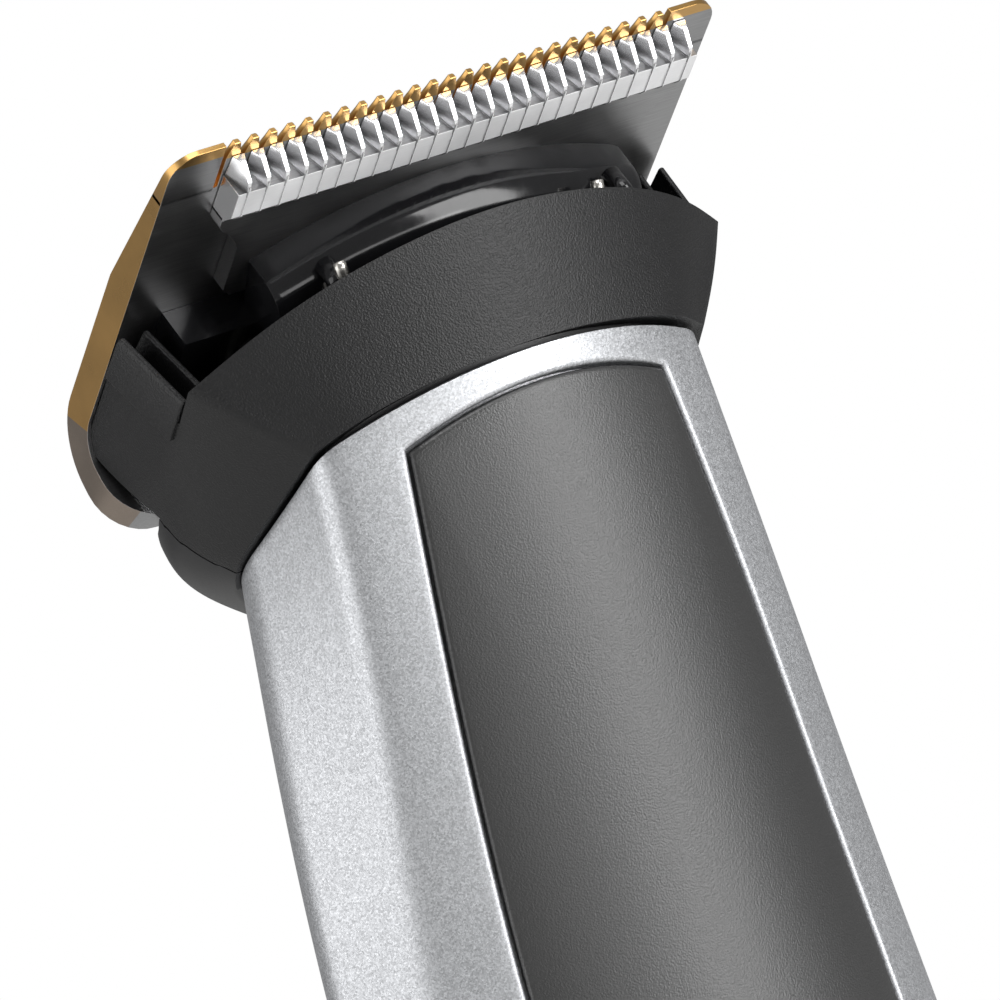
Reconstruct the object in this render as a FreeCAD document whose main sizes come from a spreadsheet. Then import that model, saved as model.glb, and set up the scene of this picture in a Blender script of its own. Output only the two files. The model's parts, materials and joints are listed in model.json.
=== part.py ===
import FreeCAD, Part

import math
import os
import re

import Sketcher

# A cordless beard trimmer standing upright on its base.
# Millimetres, +Z up, the front (grip panel side) faces -Y, the origin is the middle of the base.
# The head carries its own tilted frame: x across, s back from the tooth tips along the fixed
# blade, n up from the plane where the two blades rub.

DRIVING = {
    # handle
    "wall": 2.2,
    "seam_depth": 3.0,
    "junction_height": 138.0,
    "junction_depth": 9.07,
    "junction_tilt": 27.5,
    "crease_blend": 1.1,
    "edge_blend": 1.6,
    "panel_gap": 0.15,
    "panel_recess": 1.4,
    "panel_crown": 0.25,
    "base_cap_height": 6.0,
    "base_round": 1.6,
    # head
    "blade_front": 14.0,
    "blade_rise": 17.94,
    "blade_tilt": 32.0,
    "head_wall": 1.9,
    "rim_drop": 6.5,
    "lug_front": 13.4,
    "collar_end": 24.0,
    # fixed blade
    "blade_half": 19.25,
    "blade_thick": 2.1,
    "blade_tip_thick": 0.35,
    "blade_bevel": 11.5,
    "bend_start": 22.0,
    "bend_inner": 2.5,
    "bend_turn": 75.0,
    "tail_length": 5.6,
    "tail_corner": 3.1,
    "corner_round": 1.8,
    "tooth_count": 25.0,
    "tooth_pitch": 1.245,
    "tooth_gap": 0.42,
    "tooth_mouth": 0.95,
    "tooth_depth": 3.4,
    # seat of the fixed blade
    "frame_thick": 2.6,
    "frame_end": 21.9,
    "screw_spread": 9.5,
    "screw_place": 18.4,
    "screw_radius": 0.95,
    # moving cutter
    "cutter_half": 16.3,
    "cutter_pitch": 1.303,
    "cutter_tip": 1.0,
    "cutter_bar_end": 3.3,
    "cutter_bar_thick": 1.8,
    "cutter_plate_thick": 1.1,
    "cutter_end": 12.4,
    "cutter_waist": 14.4,
    "rub_gap": 0.03,
    # drive
    "throw": 1.0,
    "pin_radius": 0.75,
    "cam_radius": 3.6,
    "cam_base": 129.4,
    "cam_thick": 3.0,
    "pin_top": 139.6,
    "shaft_radius": 1.0,
    "motor_base": 96.0,
    "motor_length": 31.5,
    "motor_radius": 10.2,
    "motor_flat": 7.7,
    # power
    "cell_radius": 7.1,
    "cell_length": 49.0,
    "cell_base": 32.0,
    "cell_depth": 3.4,
    "board_width": 15.0,
    "board_length": 62.0,
    "board_base": 26.0,
    "board_depth": 6.4,
    "board_thick": 1.2,
    "socket_bore": 1.85,
    "socket_outer": 3.1,
    "socket_length": 13.0,
    # switch
    "switch_centre": 82.0,
    "switch_travel": 5.0,
    "switch_depth": 12.0,
    "switch_half": 4.2,
    "switch_reach": 6.5,
    "stem_half": 2.4,
    "lamp_drop": 16.0,
    "lamp_radius": 1.05,
    # catches and openings round the drive
    "drive_hole": 4.5,
    "catch_place": 9.4,
    "catch_thick": 1.0,
    "catch_half": 1.9,
}

# Handle cross-sections from the base up: height, half-width and depth of the crease, depth of the
# front, half-width of the side, depth of the back.
STATIONS = {
    "foot": (1.6, 14.9, 5.9, 11.2, 17.5, 12.0),
    "heel": (16.0, 15.7, 5.9, 11.7, 18.6, 13.0),
    "palm": (52.0, 17.0, 5.6, 12.2, 20.2, 14.6),
    "grip": (84.0, 17.1, 5.6, 12.0, 20.4, 14.9),
    "waist": (108.0, 15.99, 6.1, 11.8, 19.45, 14.2),
    "throat": (123.0, 14.61, 7.92, 12.3, 17.5, 13.0),
    "neck": (138.0, 13.56, 9.07, 12.9, 14.95, 11.6),
    "crown": (150.0, 13.0, 9.6, 13.3, 13.4, 10.8),
}
STATION_SIZES = ("height", "crease", "crease_depth", "front", "side", "back")

PIECES = []

doc = FreeCAD.newDocument("beard_trimmer")
sheet = doc.addObject("Spreadsheet::Sheet", "dims")


def fill_sheet():
    """Write every driving dimension into its own named cell."""
    sizes = dict(DRIVING)
    for station, values in STATIONS.items():
        for name, value in zip(STATION_SIZES, values):
            sizes[station + "_" + name] = value
    for row, (name, value) in enumerate(sizes.items(), start=1):
        sheet.set("A%d" % row, name)
        sheet.set("B%d" % row, str(value))
        sheet.setAlias("B%d" % row, name)
    sheet.recompute()
    return len(sizes) + 1


SCRATCH = "D%d" % fill_sheet()


def number(formula):
    """Value of a formula written over the sheet's names."""
    sheet.set(SCRATCH, "=" + formula)
    sheet.recompute()
    return float(sheet.get(SCRATCH))


def bound(formula):
    """The same formula as an expression that another object can follow."""
    return re.sub(r"\b([a-z]\w*)\b", lambda word: word.group(1)
                  if word.group(1) in ("cos", "sin", "tan", "deg") else "dims." + word.group(1), formula)


def vector(x, y, z):
    return FreeCAD.Vector(x, y, z)


TILT = math.radians(number("blade_tilt"))
BLADE_ORIGIN = vector(0, -number("blade_front"), number("junction_height + blade_rise"))
BLADE_PLACE = FreeCAD.Placement(BLADE_ORIGIN, FreeCAD.Rotation(vector(1, 0, 0), -number("blade_tilt")))


def head_point(x, s, n):
    """A point given in the tilted head frame."""
    return BLADE_PLACE.multVec(vector(x, s, n))


# sketch and feature helpers

def keep(piece, label, placement=None):
    """Name a finished sub-part, place it and note it for export."""
    piece.Label = label
    if placement is not None:
        piece.Placement = placement
    PIECES.append(piece)
    return piece


def new_body(label, placement=None):
    return keep(doc.addObject("PartDesign::Body", label), label, placement)


def new_sketch(body, role, height="0"):
    """Sketch on one of the body's own origin planes, raised by a formula."""
    sketch = body.newObject("Sketcher::SketchObject", body.Label + "_sketch")
    plane = [item for item in body.Origin.OriginFeatures if item.Role == role][0]
    sketch.AttachmentSupport = (plane, "")
    sketch.MapMode = "FlatFace"
    if height != "0":
        sketch.setExpression("AttachmentOffset.Base.z", bound(height))
    return sketch


def pin_point(sketch, geometry, position, x, y):
    """Hold a sketch point at two formulas measured from the sketch's origin."""
    for kind, axis, formula in (("DistanceX", -2, x), ("DistanceY", -1, y)):
        value = number(formula)
        if value == 0.0:
            sketch.addConstraint(Sketcher.Constraint("PointOnObject", geometry, position, axis))
            continue
        row = sketch.addConstraint(Sketcher.Constraint(kind, -1, 1, geometry, position, value))
        sketch.setExpression("Constraints[%d]" % row, bound(formula))


def draw_polygon(sketch, corners):
    """Closed outline through corners given as pairs of formulas."""
    points = [vector(number(x), number(y), 0) for x, y in corners]
    first = sketch.GeometryCount
    count = len(corners)
    for index in range(count):
        sketch.addGeometry(Part.LineSegment(points[index], points[(index + 1) % count]), False)
    for index in range(count):
        following = first + (index + 1) % count
        sketch.addConstraint(Sketcher.Constraint("Coincident", first + index, 2, following, 1))
        pin_point(sketch, first + index, 1, *corners[index])


def draw_box(sketch, left, right, low, high):
    draw_polygon(sketch, [(left, low), (right, low), (right, high), (left, high)])


def draw_circle(sketch, x, y, radius):
    size = number(radius)
    index = sketch.addGeometry(Part.Circle(vector(number(x), number(y), 0), vector(0, 0, 1), size), False)
    pin_point(sketch, index, 3, x, y)
    row = sketch.addConstraint(Sketcher.Constraint("Radius", index, size))
    sketch.setExpression("Constraints[%d]" % row, bound(radius))


def pad(body, sketch, length, down=False, middle=False):
    feature = body.newObject("PartDesign::Pad", body.Label + "_pad")
    feature.Profile = sketch
    feature.setExpression("Length", bound(length))
    feature.Reversed = down
    if middle:
        feature.SideType = "Symmetric"
    sketch.Visibility = False
    return feature


def pocket(body, sketch, length, down=True, middle=False):
    """Cut a sketch's outline; down cuts towards the sketch plane's negative side."""
    feature = body.newObject("PartDesign::Pocket", body.Label + "_pocket")
    feature.Profile = sketch
    feature.setExpression("Length", bound(length))
    feature.Reversed = not down
    if middle:
        feature.SideType = "Symmetric"
    sketch.Visibility = False
    return feature


def edges_near(feature, wanted):
    """Names of a feature's edges whose bounding boxes pass a test."""
    doc.recompute()
    edges = enumerate(feature.Shape.Edges, start=1)
    return ["Edge%d" % index for index, edge in edges if wanted(edge.BoundBox)]


def round_edges(body, feature, names, radius):
    fillet = body.newObject("PartDesign::Fillet", body.Label + "_round")
    fillet.Base = (feature, names)
    fillet.setExpression("Radius", bound(radius))
    return fillet


def pattern(body, feature, axis_role, span, count):
    """Repeat a feature along one of the body's origin axes."""
    line = [item for item in body.Origin.OriginFeatures if item.Role == axis_role][0]
    copies = body.newObject("PartDesign::LinearPattern", body.Label + "_pattern")
    copies.Originals = [feature]
    copies.Direction = (line, [""])
    copies.setExpression("Length", bound(span))
    copies.setExpression("Occurrences", bound(count))
    body.Tip = copies
    return copies


def shaped(label, shape, placement=None):
    """A free-form piece that the parametric features can't give."""
    piece = doc.addObject("Part::Feature", label)
    piece.Shape = shape
    return keep(piece, label, placement)


def block(left, right, front, back, low, high):
    """Plain box solid between two corners."""
    return Part.makeBox(right - left, back - front, high - low, vector(left, front, low))


def spline(points, steps=None):
    """Smooth edge through points; equal steps on every ring keep a loft even on both sides."""
    curve = Part.BSplineCurve()
    if steps is None:
        curve.interpolate(Points=points)
    else:
        curve.interpolate(Points=points, Parameters=steps)
    return curve.toShape()


def bezier(poles):
    curve = Part.BezierCurve()
    curve.setPoles(poles)
    return curve.toShape()


def mirrored(points):
    return [vector(-point.x, point.y, point.z) for point in reversed(points)]


def both_sides(steps):
    """Parameter steps of a right half, repeated backwards for the left half."""
    return steps + [2 * steps[-1] - step for step in reversed(steps[:-1])]


# handle form

# Lengths along the back of a ring, from the side edge to the middle of the back.
BACK_STEPS = [0.0, 3.6, 11.5, 22.5]


def handle_ring(station, inset, crown=0.0, drop=0.0):
    """One closed cross-section: bowed front, softened creases, rounded sides and back."""
    sizes = [number(station + "_" + name) for name in STATION_SIZES]
    height, crease, crease_depth, front, side, back = sizes
    height -= drop
    crease -= inset * 0.85
    crease_depth -= inset * 0.75
    front += crown - inset
    side -= inset
    back -= inset
    blend = number("crease_blend")
    edge_blend = number("edge_blend")
    bow = (crease ** 2 + (front - crease_depth) ** 2) / (2 * (front - crease_depth))
    start_x = crease - blend
    start_y = -front + bow - math.sqrt(bow ** 2 - start_x ** 2)
    flank = vector(side - crease, crease_depth, 0).normalize()
    corner = vector(crease, -crease_depth, height)
    edge = vector(side, 0, height)
    haunch = vector(side * 0.87, back * 0.29, height)
    quarter = vector(side * 0.56, back * 0.75, height)
    turn_in = (haunch - edge).normalize()
    crease_blend = [vector(start_x, start_y, height), corner, corner + flank * blend]
    edge_turn = [edge - flank * edge_blend, edge, edge + turn_in * edge_blend]
    run = [edge_turn[-1], haunch, quarter]
    steps = [math.asin(start_x / bow) * part / 3.0 for part in range(-3, 4)]
    bow_points = [vector(bow * math.sin(turn), -front + bow - bow * math.cos(turn), height)
                  for turn in steps]
    return Part.Wire([
        spline(bow_points, [float(part) for part in range(7)]),
        bezier(crease_blend),
        Part.makeLine(crease_blend[-1], edge_turn[0]),
        bezier(edge_turn),
        spline(run + [vector(0, back, height)] + mirrored(run), both_sides(BACK_STEPS)),
        bezier(mirrored(edge_turn)),
        Part.makeLine(*mirrored([crease_blend[-1], edge_turn[0]])),
        bezier(mirrored(crease_blend)),
    ])


def handle_solid(inset, crown=0.0):
    rings = [handle_ring(station, inset, crown) for station in STATIONS]
    return Part.makeLoft(rings, True, False)


def junction_cutter(lift):
    """Everything above the sloping joint between handle and head, moved up by lift."""
    big = Part.makeBox(120, 120, 80, vector(-60, -60, 0))
    big.Placement = FreeCAD.Placement(
        vector(0, -number("junction_depth"), number("junction_height") + lift),
        FreeCAD.Rotation(vector(1, 0, 0), -number("junction_tilt")))
    return big


def panel_prism(gap, front_side):
    """Outline of a grip panel, drawn on the XZ plane and pushed through half of the handle."""
    right = [
        vector(6.4 + gap, 0, 15.0 - gap),
        vector(10.2 + gap, 0, 22.0),
        vector(12.1 + gap, 0, 50.0),
        vector(12.3 + gap, 0, 84.0),
        vector(11.65 + gap, 0, 108.0),
        vector(10.57 + gap, 0, 123.0),
        vector(9.10 + gap, 0, 136.54 + gap),
    ]
    left = [vector(-point.x, 0, point.z) for point in reversed(right)]
    top = Part.Arc(right[-1], vector(0, 0, 138.1 + gap), left[0]).toShape()
    bottom = Part.Arc(left[-1], vector(0, 0, 12.8 - gap), right[0]).toShape()
    face = Part.Face(Part.Wire([spline(right), top, spline(left), bottom]))
    return face.extrude(vector(0, -30 if front_side else 30, 0))


OUTER = handle_solid(0)
INNER = handle_solid(number("wall"))
ABOVE = junction_cutter(0)
CASING = OUTER.cut(INNER).cut(ABOVE)
CAP_SPLIT = block(-40, 40, -40, 40, -1, number("base_cap_height"))
FRONT_HALF = block(-40, 40, -40, number("seam_depth"), -1, 200)
RECESS_SKIN = OUTER.cut(handle_solid(number("panel_recess")))


def lamp_hole():
    """Round hole for the charge lamp, below the switch."""
    return Part.makeCylinder(number("lamp_radius + 0.05"), 20,
                             vector(0, -20, number("switch_centre - lamp_drop")), vector(0, 1, 0))


def make_casing():
    """Front and rear shells, split behind the widest line, with recesses for the grip panels."""
    switch_slot = block(-number("stem_half") - 0.3, number("stem_half") + 0.3, -20, 0,
                        number("switch_centre - 3.4"), number("switch_centre + 3.4 + switch_travel"))
    seam = number("seam_depth")
    front = CASING.common(FRONT_HALF).cut(CAP_SPLIT)
    front = front.cut(RECESS_SKIN.common(panel_prism(number("panel_gap"), True)))
    front = front.cut(switch_slot)
    front = front.cut(lamp_hole())
    rear = CASING.cut(FRONT_HALF).cut(CAP_SPLIT)
    rear = rear.cut(RECESS_SKIN.common(panel_prism(number("panel_gap"), False)))
    shaped("front_shell", front)
    shaped("rear_shell", rear)


def make_panels():
    """Two inset grip panels, a little crowned above the shell around them."""
    skin = handle_solid(0, number("panel_crown")).cut(handle_solid(number("panel_recess")))
    opening = block(-number("stem_half") - 0.5, number("stem_half") + 0.5, -20, 0,
                    number("switch_centre - 3.6"), number("switch_centre + 3.6 + switch_travel"))
    front = skin.common(panel_prism(0, True)).cut(opening).cut(lamp_hole())
    shaped("grip_panel", front)
    rear = skin.common(panel_prism(0, False)).cut(ABOVE)
    shaped("rear_grip", rear)


def make_base_cap():
    """Closing cap with a rounded lower edge and the hole for the charging plug."""
    round_over = number("base_round")
    turns = [math.radians(turn) for turn in (0, 30, 60, 90)]
    lip = Part.makeLoft([handle_ring("foot", round_over * (1 - math.sin(turn)), 0,
                                     round_over * math.cos(turn)) for turn in turns], True, False)
    cap = OUTER.common(CAP_SPLIT).fuse(lip)
    cap = cap.cut(INNER.common(block(-40, 40, -40, 40, 2.2, 10)))
    cap = cap.cut(Part.makeCylinder(number("socket_outer"), 20, vector(0, 0, -1)))
    shaped("base_cap", cap.removeSplitter())


make_casing()
make_panels()
make_base_cap()


# head form

# Lengths along a head ring, from the middle of the front to the corner and on to the back.
HEAD_FRONT_STEPS = [0.0, 6.0, 11.5, 16.5, 21.5]
HEAD_SIDE_STEPS = [0.0, 4.5, 14.0, 21.0, 28.5, 39.0]


def ring_of(front_half, side_half):
    """Closed ring from its right-hand halves: front centre to corner, corner to back centre."""
    front = spline(mirrored(front_half) + front_half[1:], both_sides(HEAD_FRONT_STEPS))
    back = spline(side_half + mirrored(side_half)[1:], both_sides(HEAD_SIDE_STEPS))
    return Part.Wire([front, back])


def joint_ring(inset):
    """Ring on the sloping joint, where the head meets the handle."""
    slope = math.tan(math.radians(number("junction_tilt")))

    def on_joint(x, y):
        return vector(x, y, number("junction_height") - slope * (y + number("junction_depth")))

    front = [on_joint(x, y + inset) for x, y in ((0, -13.45), (4.5, -13.05), (8.5, -12.1), (11.5, -10.95))]
    corner = on_joint(13.95 - inset, -9.25 + inset * 0.7)
    side = [corner,
            on_joint(15.1 - inset, -4.6),
            on_joint(15.75 - inset, 0.2),
            on_joint(13.3 - inset, 4.2 - inset * 0.4),
            on_joint(8.5 - inset * 0.6, 8.5 - inset * 0.8),
            on_joint(0, 11.2 - inset)]
    return ring_of(front + [corner], side)


def rim_ring(n, inset, front_s, back_s, half):
    """Ring parallel to the blade: low bow in front, straight flanks, full round back."""
    front = [head_point(x * half / 20.0, s + inset * 1.1 + front_s, n)
             for x, s in ((0, 0.0), (6.0, 0.75), (11.0, 2.45), (15.2, 4.95))]
    corner = head_point(half * 0.955 - inset, front_s + 8.9 + inset * 0.6, n)
    side = [corner,
            head_point(half - inset, front_s + 13.5, n),
            head_point(half * 0.985 - inset, back_s - 12.0, n),
            head_point(half * 0.86 - inset * 0.9, back_s - 5.2 - inset * 0.5, n),
            head_point(half * 0.52 - inset * 0.5, back_s - 1.3 - inset * 0.9, n),
            head_point(0, back_s - inset, n)]
    return ring_of(front + [corner], side)


def head_solid(inset):
    rings = [joint_ring(inset),
             rim_ring(-number("rim_drop"), inset, 4.2, 28.6, 19.9),
             rim_ring(1.4, inset, -0.6, 28.6, 19.9)]
    return Part.makeLoft(rings, True, False)


def head_block(left, right, near, far, low, high):
    """Box in the tilted head frame."""
    box = block(left, right, near, far, low, high)
    box.Placement = BLADE_PLACE
    return box


def head_prism(corners, half):
    """Outline in the head's s and n, pushed out to both sides."""
    face = Part.Face(Part.makePolygon([vector(-half, s, n) for s, n in corners + corners[:1]]))
    prism = face.extrude(vector(2 * half, 0, 0))
    prism.Placement = BLADE_PLACE
    return prism


def under_blade(gap):
    """Side outline of the space above the blade's under face, tail included, widened by a gap."""
    inner = number("bend_inner") - gap
    start = number("bend_start")
    turn = number("bend_turn")
    tail = number("tail_length") * math.sin(math.radians(turn))
    corner = number("bend_start + bend_inner * tan(bend_turn / 2 * 1 deg)")
    steps = [math.radians(turn * part / 6) for part in range(7)]
    arc = [(start + inner * math.sin(step), inner * (math.cos(step) - 1) - gap) for step in steps]
    end = (corner + tail / math.tan(math.radians(turn)) - gap, -tail - gap)
    return [(-5, -gap)] + arc + [end, (60, end[1]), (60, 9), (-5, 9)]


def make_head_shells():
    """Textured collar in front and smooth cover behind, both thin walls open at top and bottom."""
    shell = head_solid(0).cut(head_solid(number("head_wall")))
    rim = number("rim_drop")
    lug = number("lug_front")
    end = number("collar_end")
    above = head_prism(under_blade(0.02), 40)
    collar = shell.cut(head_block(-40, 40, -30, lug, -rim, 20)).cut(head_block(-40, 40, end, 60, -60, 20))
    collar = collar.cut(above)
    for side in (-1, 1):
        middle = side * 19.05
        collar = collar.cut(head_block(middle - 0.62, middle + 0.62, lug - 6, lug + 1.3, -9.2, 3))
    shaped("head_collar", collar)
    cover = shell.common(head_block(-40, 40, end, 60, -60, 20))
    cover = cover.cut(above)
    shaped("rear_cover", cover)


make_head_shells()


def make_fixed_blade():
    """Stamped, ground blade with pointed teeth between two plain lands."""
    body = new_body("fixed_blade", BLADE_PLACE)
    side = new_sketch(body, "YZ_Plane")
    corner = "bend_start + bend_inner * tan(bend_turn / 2 * 1 deg)"
    lean = "blade_thick * tan(bend_turn / 2 * 1 deg)"
    along, across = "cos(bend_turn * 1 deg)", "sin(bend_turn * 1 deg)"
    draw_polygon(side, [
        ("0", "0"),
        (corner, "0"),
        (corner + " + tail_length * " + along, "-(tail_length * " + across + ")"),
        (corner + " + tail_length * " + along + " + blade_thick * " + across,
         "-(tail_length * " + across + ") + blade_thick * " + along),
        (corner + " + " + lean, "blade_thick"),
        ("blade_bevel", "blade_thick"),
        ("0", "blade_tip_thick"),
    ])
    plate = pad(body, side, "blade_half * 2", middle=True)
    gap = new_sketch(body, "XY_Plane", "blade_thick + 1")
    first = "-tooth_pitch * (tooth_count / 2)"
    draw_polygon(gap, [
        (first + " - tooth_mouth / 2", "-0.5"),
        (first + " + tooth_mouth / 2", "-0.5"),
        (first + " + tooth_gap / 2", "1.7"),
        (first + " + tooth_gap / 2", "tooth_depth"),
        (first + " - tooth_gap / 2", "tooth_depth"),
        (first + " - tooth_gap / 2", "1.7"),
    ])
    half = number("blade_half")
    bend = number("bend_start")

    def upright(box):
        return box.XLength < 0.01 and abs(box.XMin) > half - 0.1

    inner = edges_near(plate, lambda box: box.XLength > half and abs(box.YMin - number(corner)) < 0.1)
    bent = round_edges(body, plate, inner, "bend_inner")
    outer = edges_near(bent, lambda box: box.XLength > half and box.YMin > bend and box.ZMin > 0.5)
    bent = round_edges(body, bent, outer, "bend_inner + blade_thick")
    front = edges_near(bent, lambda box: upright(box) and box.YMax < 0.01)
    bent = round_edges(body, bent, front, "corner_round")
    tail = edges_near(bent, lambda box: upright(box) and box.ZMax < -number("tail_length") * 0.7)
    bent = round_edges(body, bent, tail, "tail_corner")
    threads = new_sketch(body, "XY_Plane", "blade_thick + 1")
    for side_sign in ("-", ""):
        draw_circle(threads, side_sign + "screw_spread", "screw_place", "screw_radius + 0.03")
    pocket(body, threads, "blade_thick + 2")
    cut = pocket(body, gap, "blade_thick + 3")
    pattern(body, cut, "X_Axis", "tooth_pitch * tooth_count", "tooth_count + 1")
    doc.recompute()
    return body


make_fixed_blade()


# small builders

def bar(label, radius, length, place, turn=None):
    """Round bar along +Z from a point, or along another direction."""
    piece = doc.addObject("Part::Cylinder", label)
    piece.setExpression("Radius", bound(radius))
    piece.setExpression("Height", bound(length))
    piece.Placement = FreeCAD.Placement(place, turn or FreeCAD.Rotation())
    return piece


def joined(kind, label, pieces):
    whole = doc.addObject(kind, label)
    if kind == "Part::Compound":
        whole.Links = pieces
    else:
        whole.Shapes = pieces
    return whole


def screw_set(label, places, turn, head, head_height, shank, shank_length):
    """Equal pan-head screws kept as one group of separate solids."""
    axis = turn.multVec(vector(0, 0, 1))
    screws = []
    for index, place in enumerate(places):
        cap = bar("%s_head_%d" % (label, index), head, head_height, place, turn)
        stem = bar("%s_stem_%d" % (label, index), shank, shank_length,
                   place + axis * number(head_height), turn)
        screws.append(joined("Part::MultiFuse", "%s_screw_%d" % (label, index), [cap, stem]))
    return keep(joined("Part::Compound", label, screws), label)


def slab(label, outline, low, thick, holes=(), placement=None):
    """Flat plate from an outline in x and y, with round holes."""
    body = new_body(label, placement)
    sketch = new_sketch(body, "XY_Plane", low)
    draw_polygon(sketch, outline)
    for x, y, radius in holes:
        draw_circle(sketch, x, y, radius)
    pad(body, sketch, thick)
    return body


def ring_slab(label, radius, bore, low, thick):
    """Round plate or tube on the motor's axis."""
    body = new_body(label)
    sketch = new_sketch(body, "XY_Plane", low)
    draw_circle(sketch, "0", "0", radius)
    if bore is not None:
        draw_circle(sketch, "0", "0", bore)
    pad(body, sketch, thick)
    return body


def rectangle(left, right, low, high):
    return [(left, low), (right, low), (right, high), (left, high)]


# cutting set

CUTTER_PLACE = FreeCAD.Placement(vector(number("throw"), 0, 0), FreeCAD.Rotation()).multiply(BLADE_PLACE)


def make_moving_cutter():
    """Reciprocating blade: toothed bar with ground grooves, thinner plate behind it."""
    body = new_body("moving_cutter", CUTTER_PLACE)
    side = new_sketch(body, "YZ_Plane")
    draw_polygon(side, [
        ("cutter_tip", "-rub_gap"),
        ("cutter_tip", "-0.5"),
        ("cutter_tip + 0.75", "-cutter_bar_thick + 0.2"),
        ("cutter_bar_end", "-cutter_bar_thick"),
        ("cutter_bar_end + 0.6", "-cutter_plate_thick - 0.35"),
        ("cutter_bar_end + 1.9", "-cutter_plate_thick"),
        ("cutter_end", "-cutter_plate_thick"),
        ("cutter_end", "-rub_gap"),
    ])
    pad(body, side, "cutter_half * 2", middle=True)
    ends = new_sketch(body, "XY_Plane", "1")
    for side_sign in ("", "-"):
        draw_polygon(ends, [
            (side_sign + "(cutter_half + 0.5)", "cutter_bar_end + 2.4"),
            (side_sign + "(cutter_half - 0.6)", "cutter_bar_end + 2.6"),
            (side_sign + "(cutter_waist + 0.5)", "cutter_bar_end + 3.5"),
            (side_sign + "(cutter_waist)", "cutter_bar_end + 4.9"),
            (side_sign + "(cutter_waist)", "cutter_end + 1"),
            (side_sign + "(cutter_half + 0.5)", "cutter_end + 1"),
        ])
    pocket(body, ends, "4")
    first = "cutter_pitch * tooth_count / 2"
    groove = new_sketch(body, "XZ_Plane", "-2.2")
    draw_polygon(groove, [
        ("-(" + first + ") - 0.5", "-cutter_bar_thick - 0.05"),
        ("-(" + first + ") + 0.5", "-cutter_bar_thick - 0.05"),
        ("-(" + first + ") + 0.2", "0.1"),
        ("-(" + first + ") - 0.2", "0.1"),
    ])
    through = pocket(body, groove, "4", down=False)
    run_out = new_sketch(body, "YZ_Plane", "-(" + first + ")")
    draw_polygon(run_out, [
        ("2.1", "-0.5"),
        ("2.1", "-cutter_bar_thick - 0.1"),
        ("3.6", "-cutter_bar_thick - 0.1"),
        ("3.3", "-1.62"),
        ("2.5", "-1.45"),
    ])
    trough = pocket(body, run_out, "1.0", middle=True)
    doc.recompute()
    copies = pattern(body, through, "X_Axis", "cutter_pitch * tooth_count", "tooth_count + 1")
    copies.Originals = [through, trough]
    return body


def make_carrier():
    """Arched bridge behind the cutter, with the arm that reaches back to the drive fork."""
    body = new_body("cutter_carrier", CUTTER_PLACE)
    arch = new_sketch(body, "XY_Plane", "-5.0")
    points = {}
    for name, reach, depth in (("front", 13.2, 6.6), ("back", 12.4, 10.6)):
        points[name] = [vector(-reach, depth + 3.1, 0), vector(0, depth, 0), vector(reach, depth + 3.1, 0)]
        arch.addGeometry(Part.Arc(*points[name]), False)
    arch.addGeometry(Part.LineSegment(points["front"][2], points["back"][2]), False)
    arch.addGeometry(Part.LineSegment(points["back"][0], points["front"][0]), False)
    for one, one_end, other, other_end in ((0, 2, 2, 1), (2, 2, 1, 2), (1, 1, 3, 1), (3, 2, 0, 1)):
        arch.addConstraint(Sketcher.Constraint("Coincident", one, one_end, other, other_end))
    span = pad(body, arch, "5.0 - cutter_plate_thick")
    doc.recompute()
    crown = body.newObject("PartDesign::Fillet", "cutter_carrier_crown")
    edges = ["Edge%d" % (index + 1) for index, edge in enumerate(span.Shape.Edges)
             if abs(edge.BoundBox.ZMax + 5.0) < 0.01 and edge.BoundBox.ZLength < 0.01
             and edge.BoundBox.YMin < 6.7 and edge.Length > 20]
    crown.Base = (span, edges)
    crown.Radius = 2.2
    doc.recompute()
    arm = new_sketch(body, "XY_Plane", "-6.4")
    draw_box(arm, "-3.6", "3.6", "8.2", "18.4")
    pad(body, arm, "2.2")
    return body


def make_drive_fork():
    """Slotted block that the eccentric pin works in, open underneath."""
    body = new_body("drive_fork", FreeCAD.Placement(vector(number("throw"), 0, 0), FreeCAD.Rotation()))
    outline = new_sketch(body, "XY_Plane", "pin_top - 2.6")
    draw_box(outline, "-4.1", "4.1", "-3.1", "3.1")
    draw_box(outline, "-(2 * throw + pin_radius + 0.1)", "2 * throw + pin_radius + 0.1",
             "-(throw + pin_radius + 0.1)", "throw + pin_radius + 0.1")
    pad(body, outline, "3.0")
    lid = new_sketch(body, "XY_Plane", "pin_top + 0.4")
    draw_box(lid, "-4.1", "4.1", "-3.1", "3.1")
    pad(body, lid, "0.8")
    return body


def make_blade_frame():
    """Moulded seat under the rear half of the fixed blade."""
    seat = [("-16.4", "13.7"), ("16.4", "13.7"), ("16.4", "18.5"),
            ("13.6", "frame_end"), ("-13.6", "frame_end"), ("-16.4", "18.5")]
    holes = [(side + "screw_spread", "screw_place", "screw_radius + 0.1") for side in ("-", "")]
    slab("blade_frame", seat, "-frame_thick", "frame_thick - 0.02", holes, BLADE_PLACE)
    up = FreeCAD.Rotation(vector(1, 0, 0), -number("blade_tilt"))
    under = -number("frame_thick") - 1.1
    places = [head_point(side * number("screw_spread"), number("screw_place"), under) for side in (-1, 1)]
    screw_set("blade_screws", places, up, "1.9", "1.1", "screw_radius", "frame_thick + 1.3")


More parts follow.
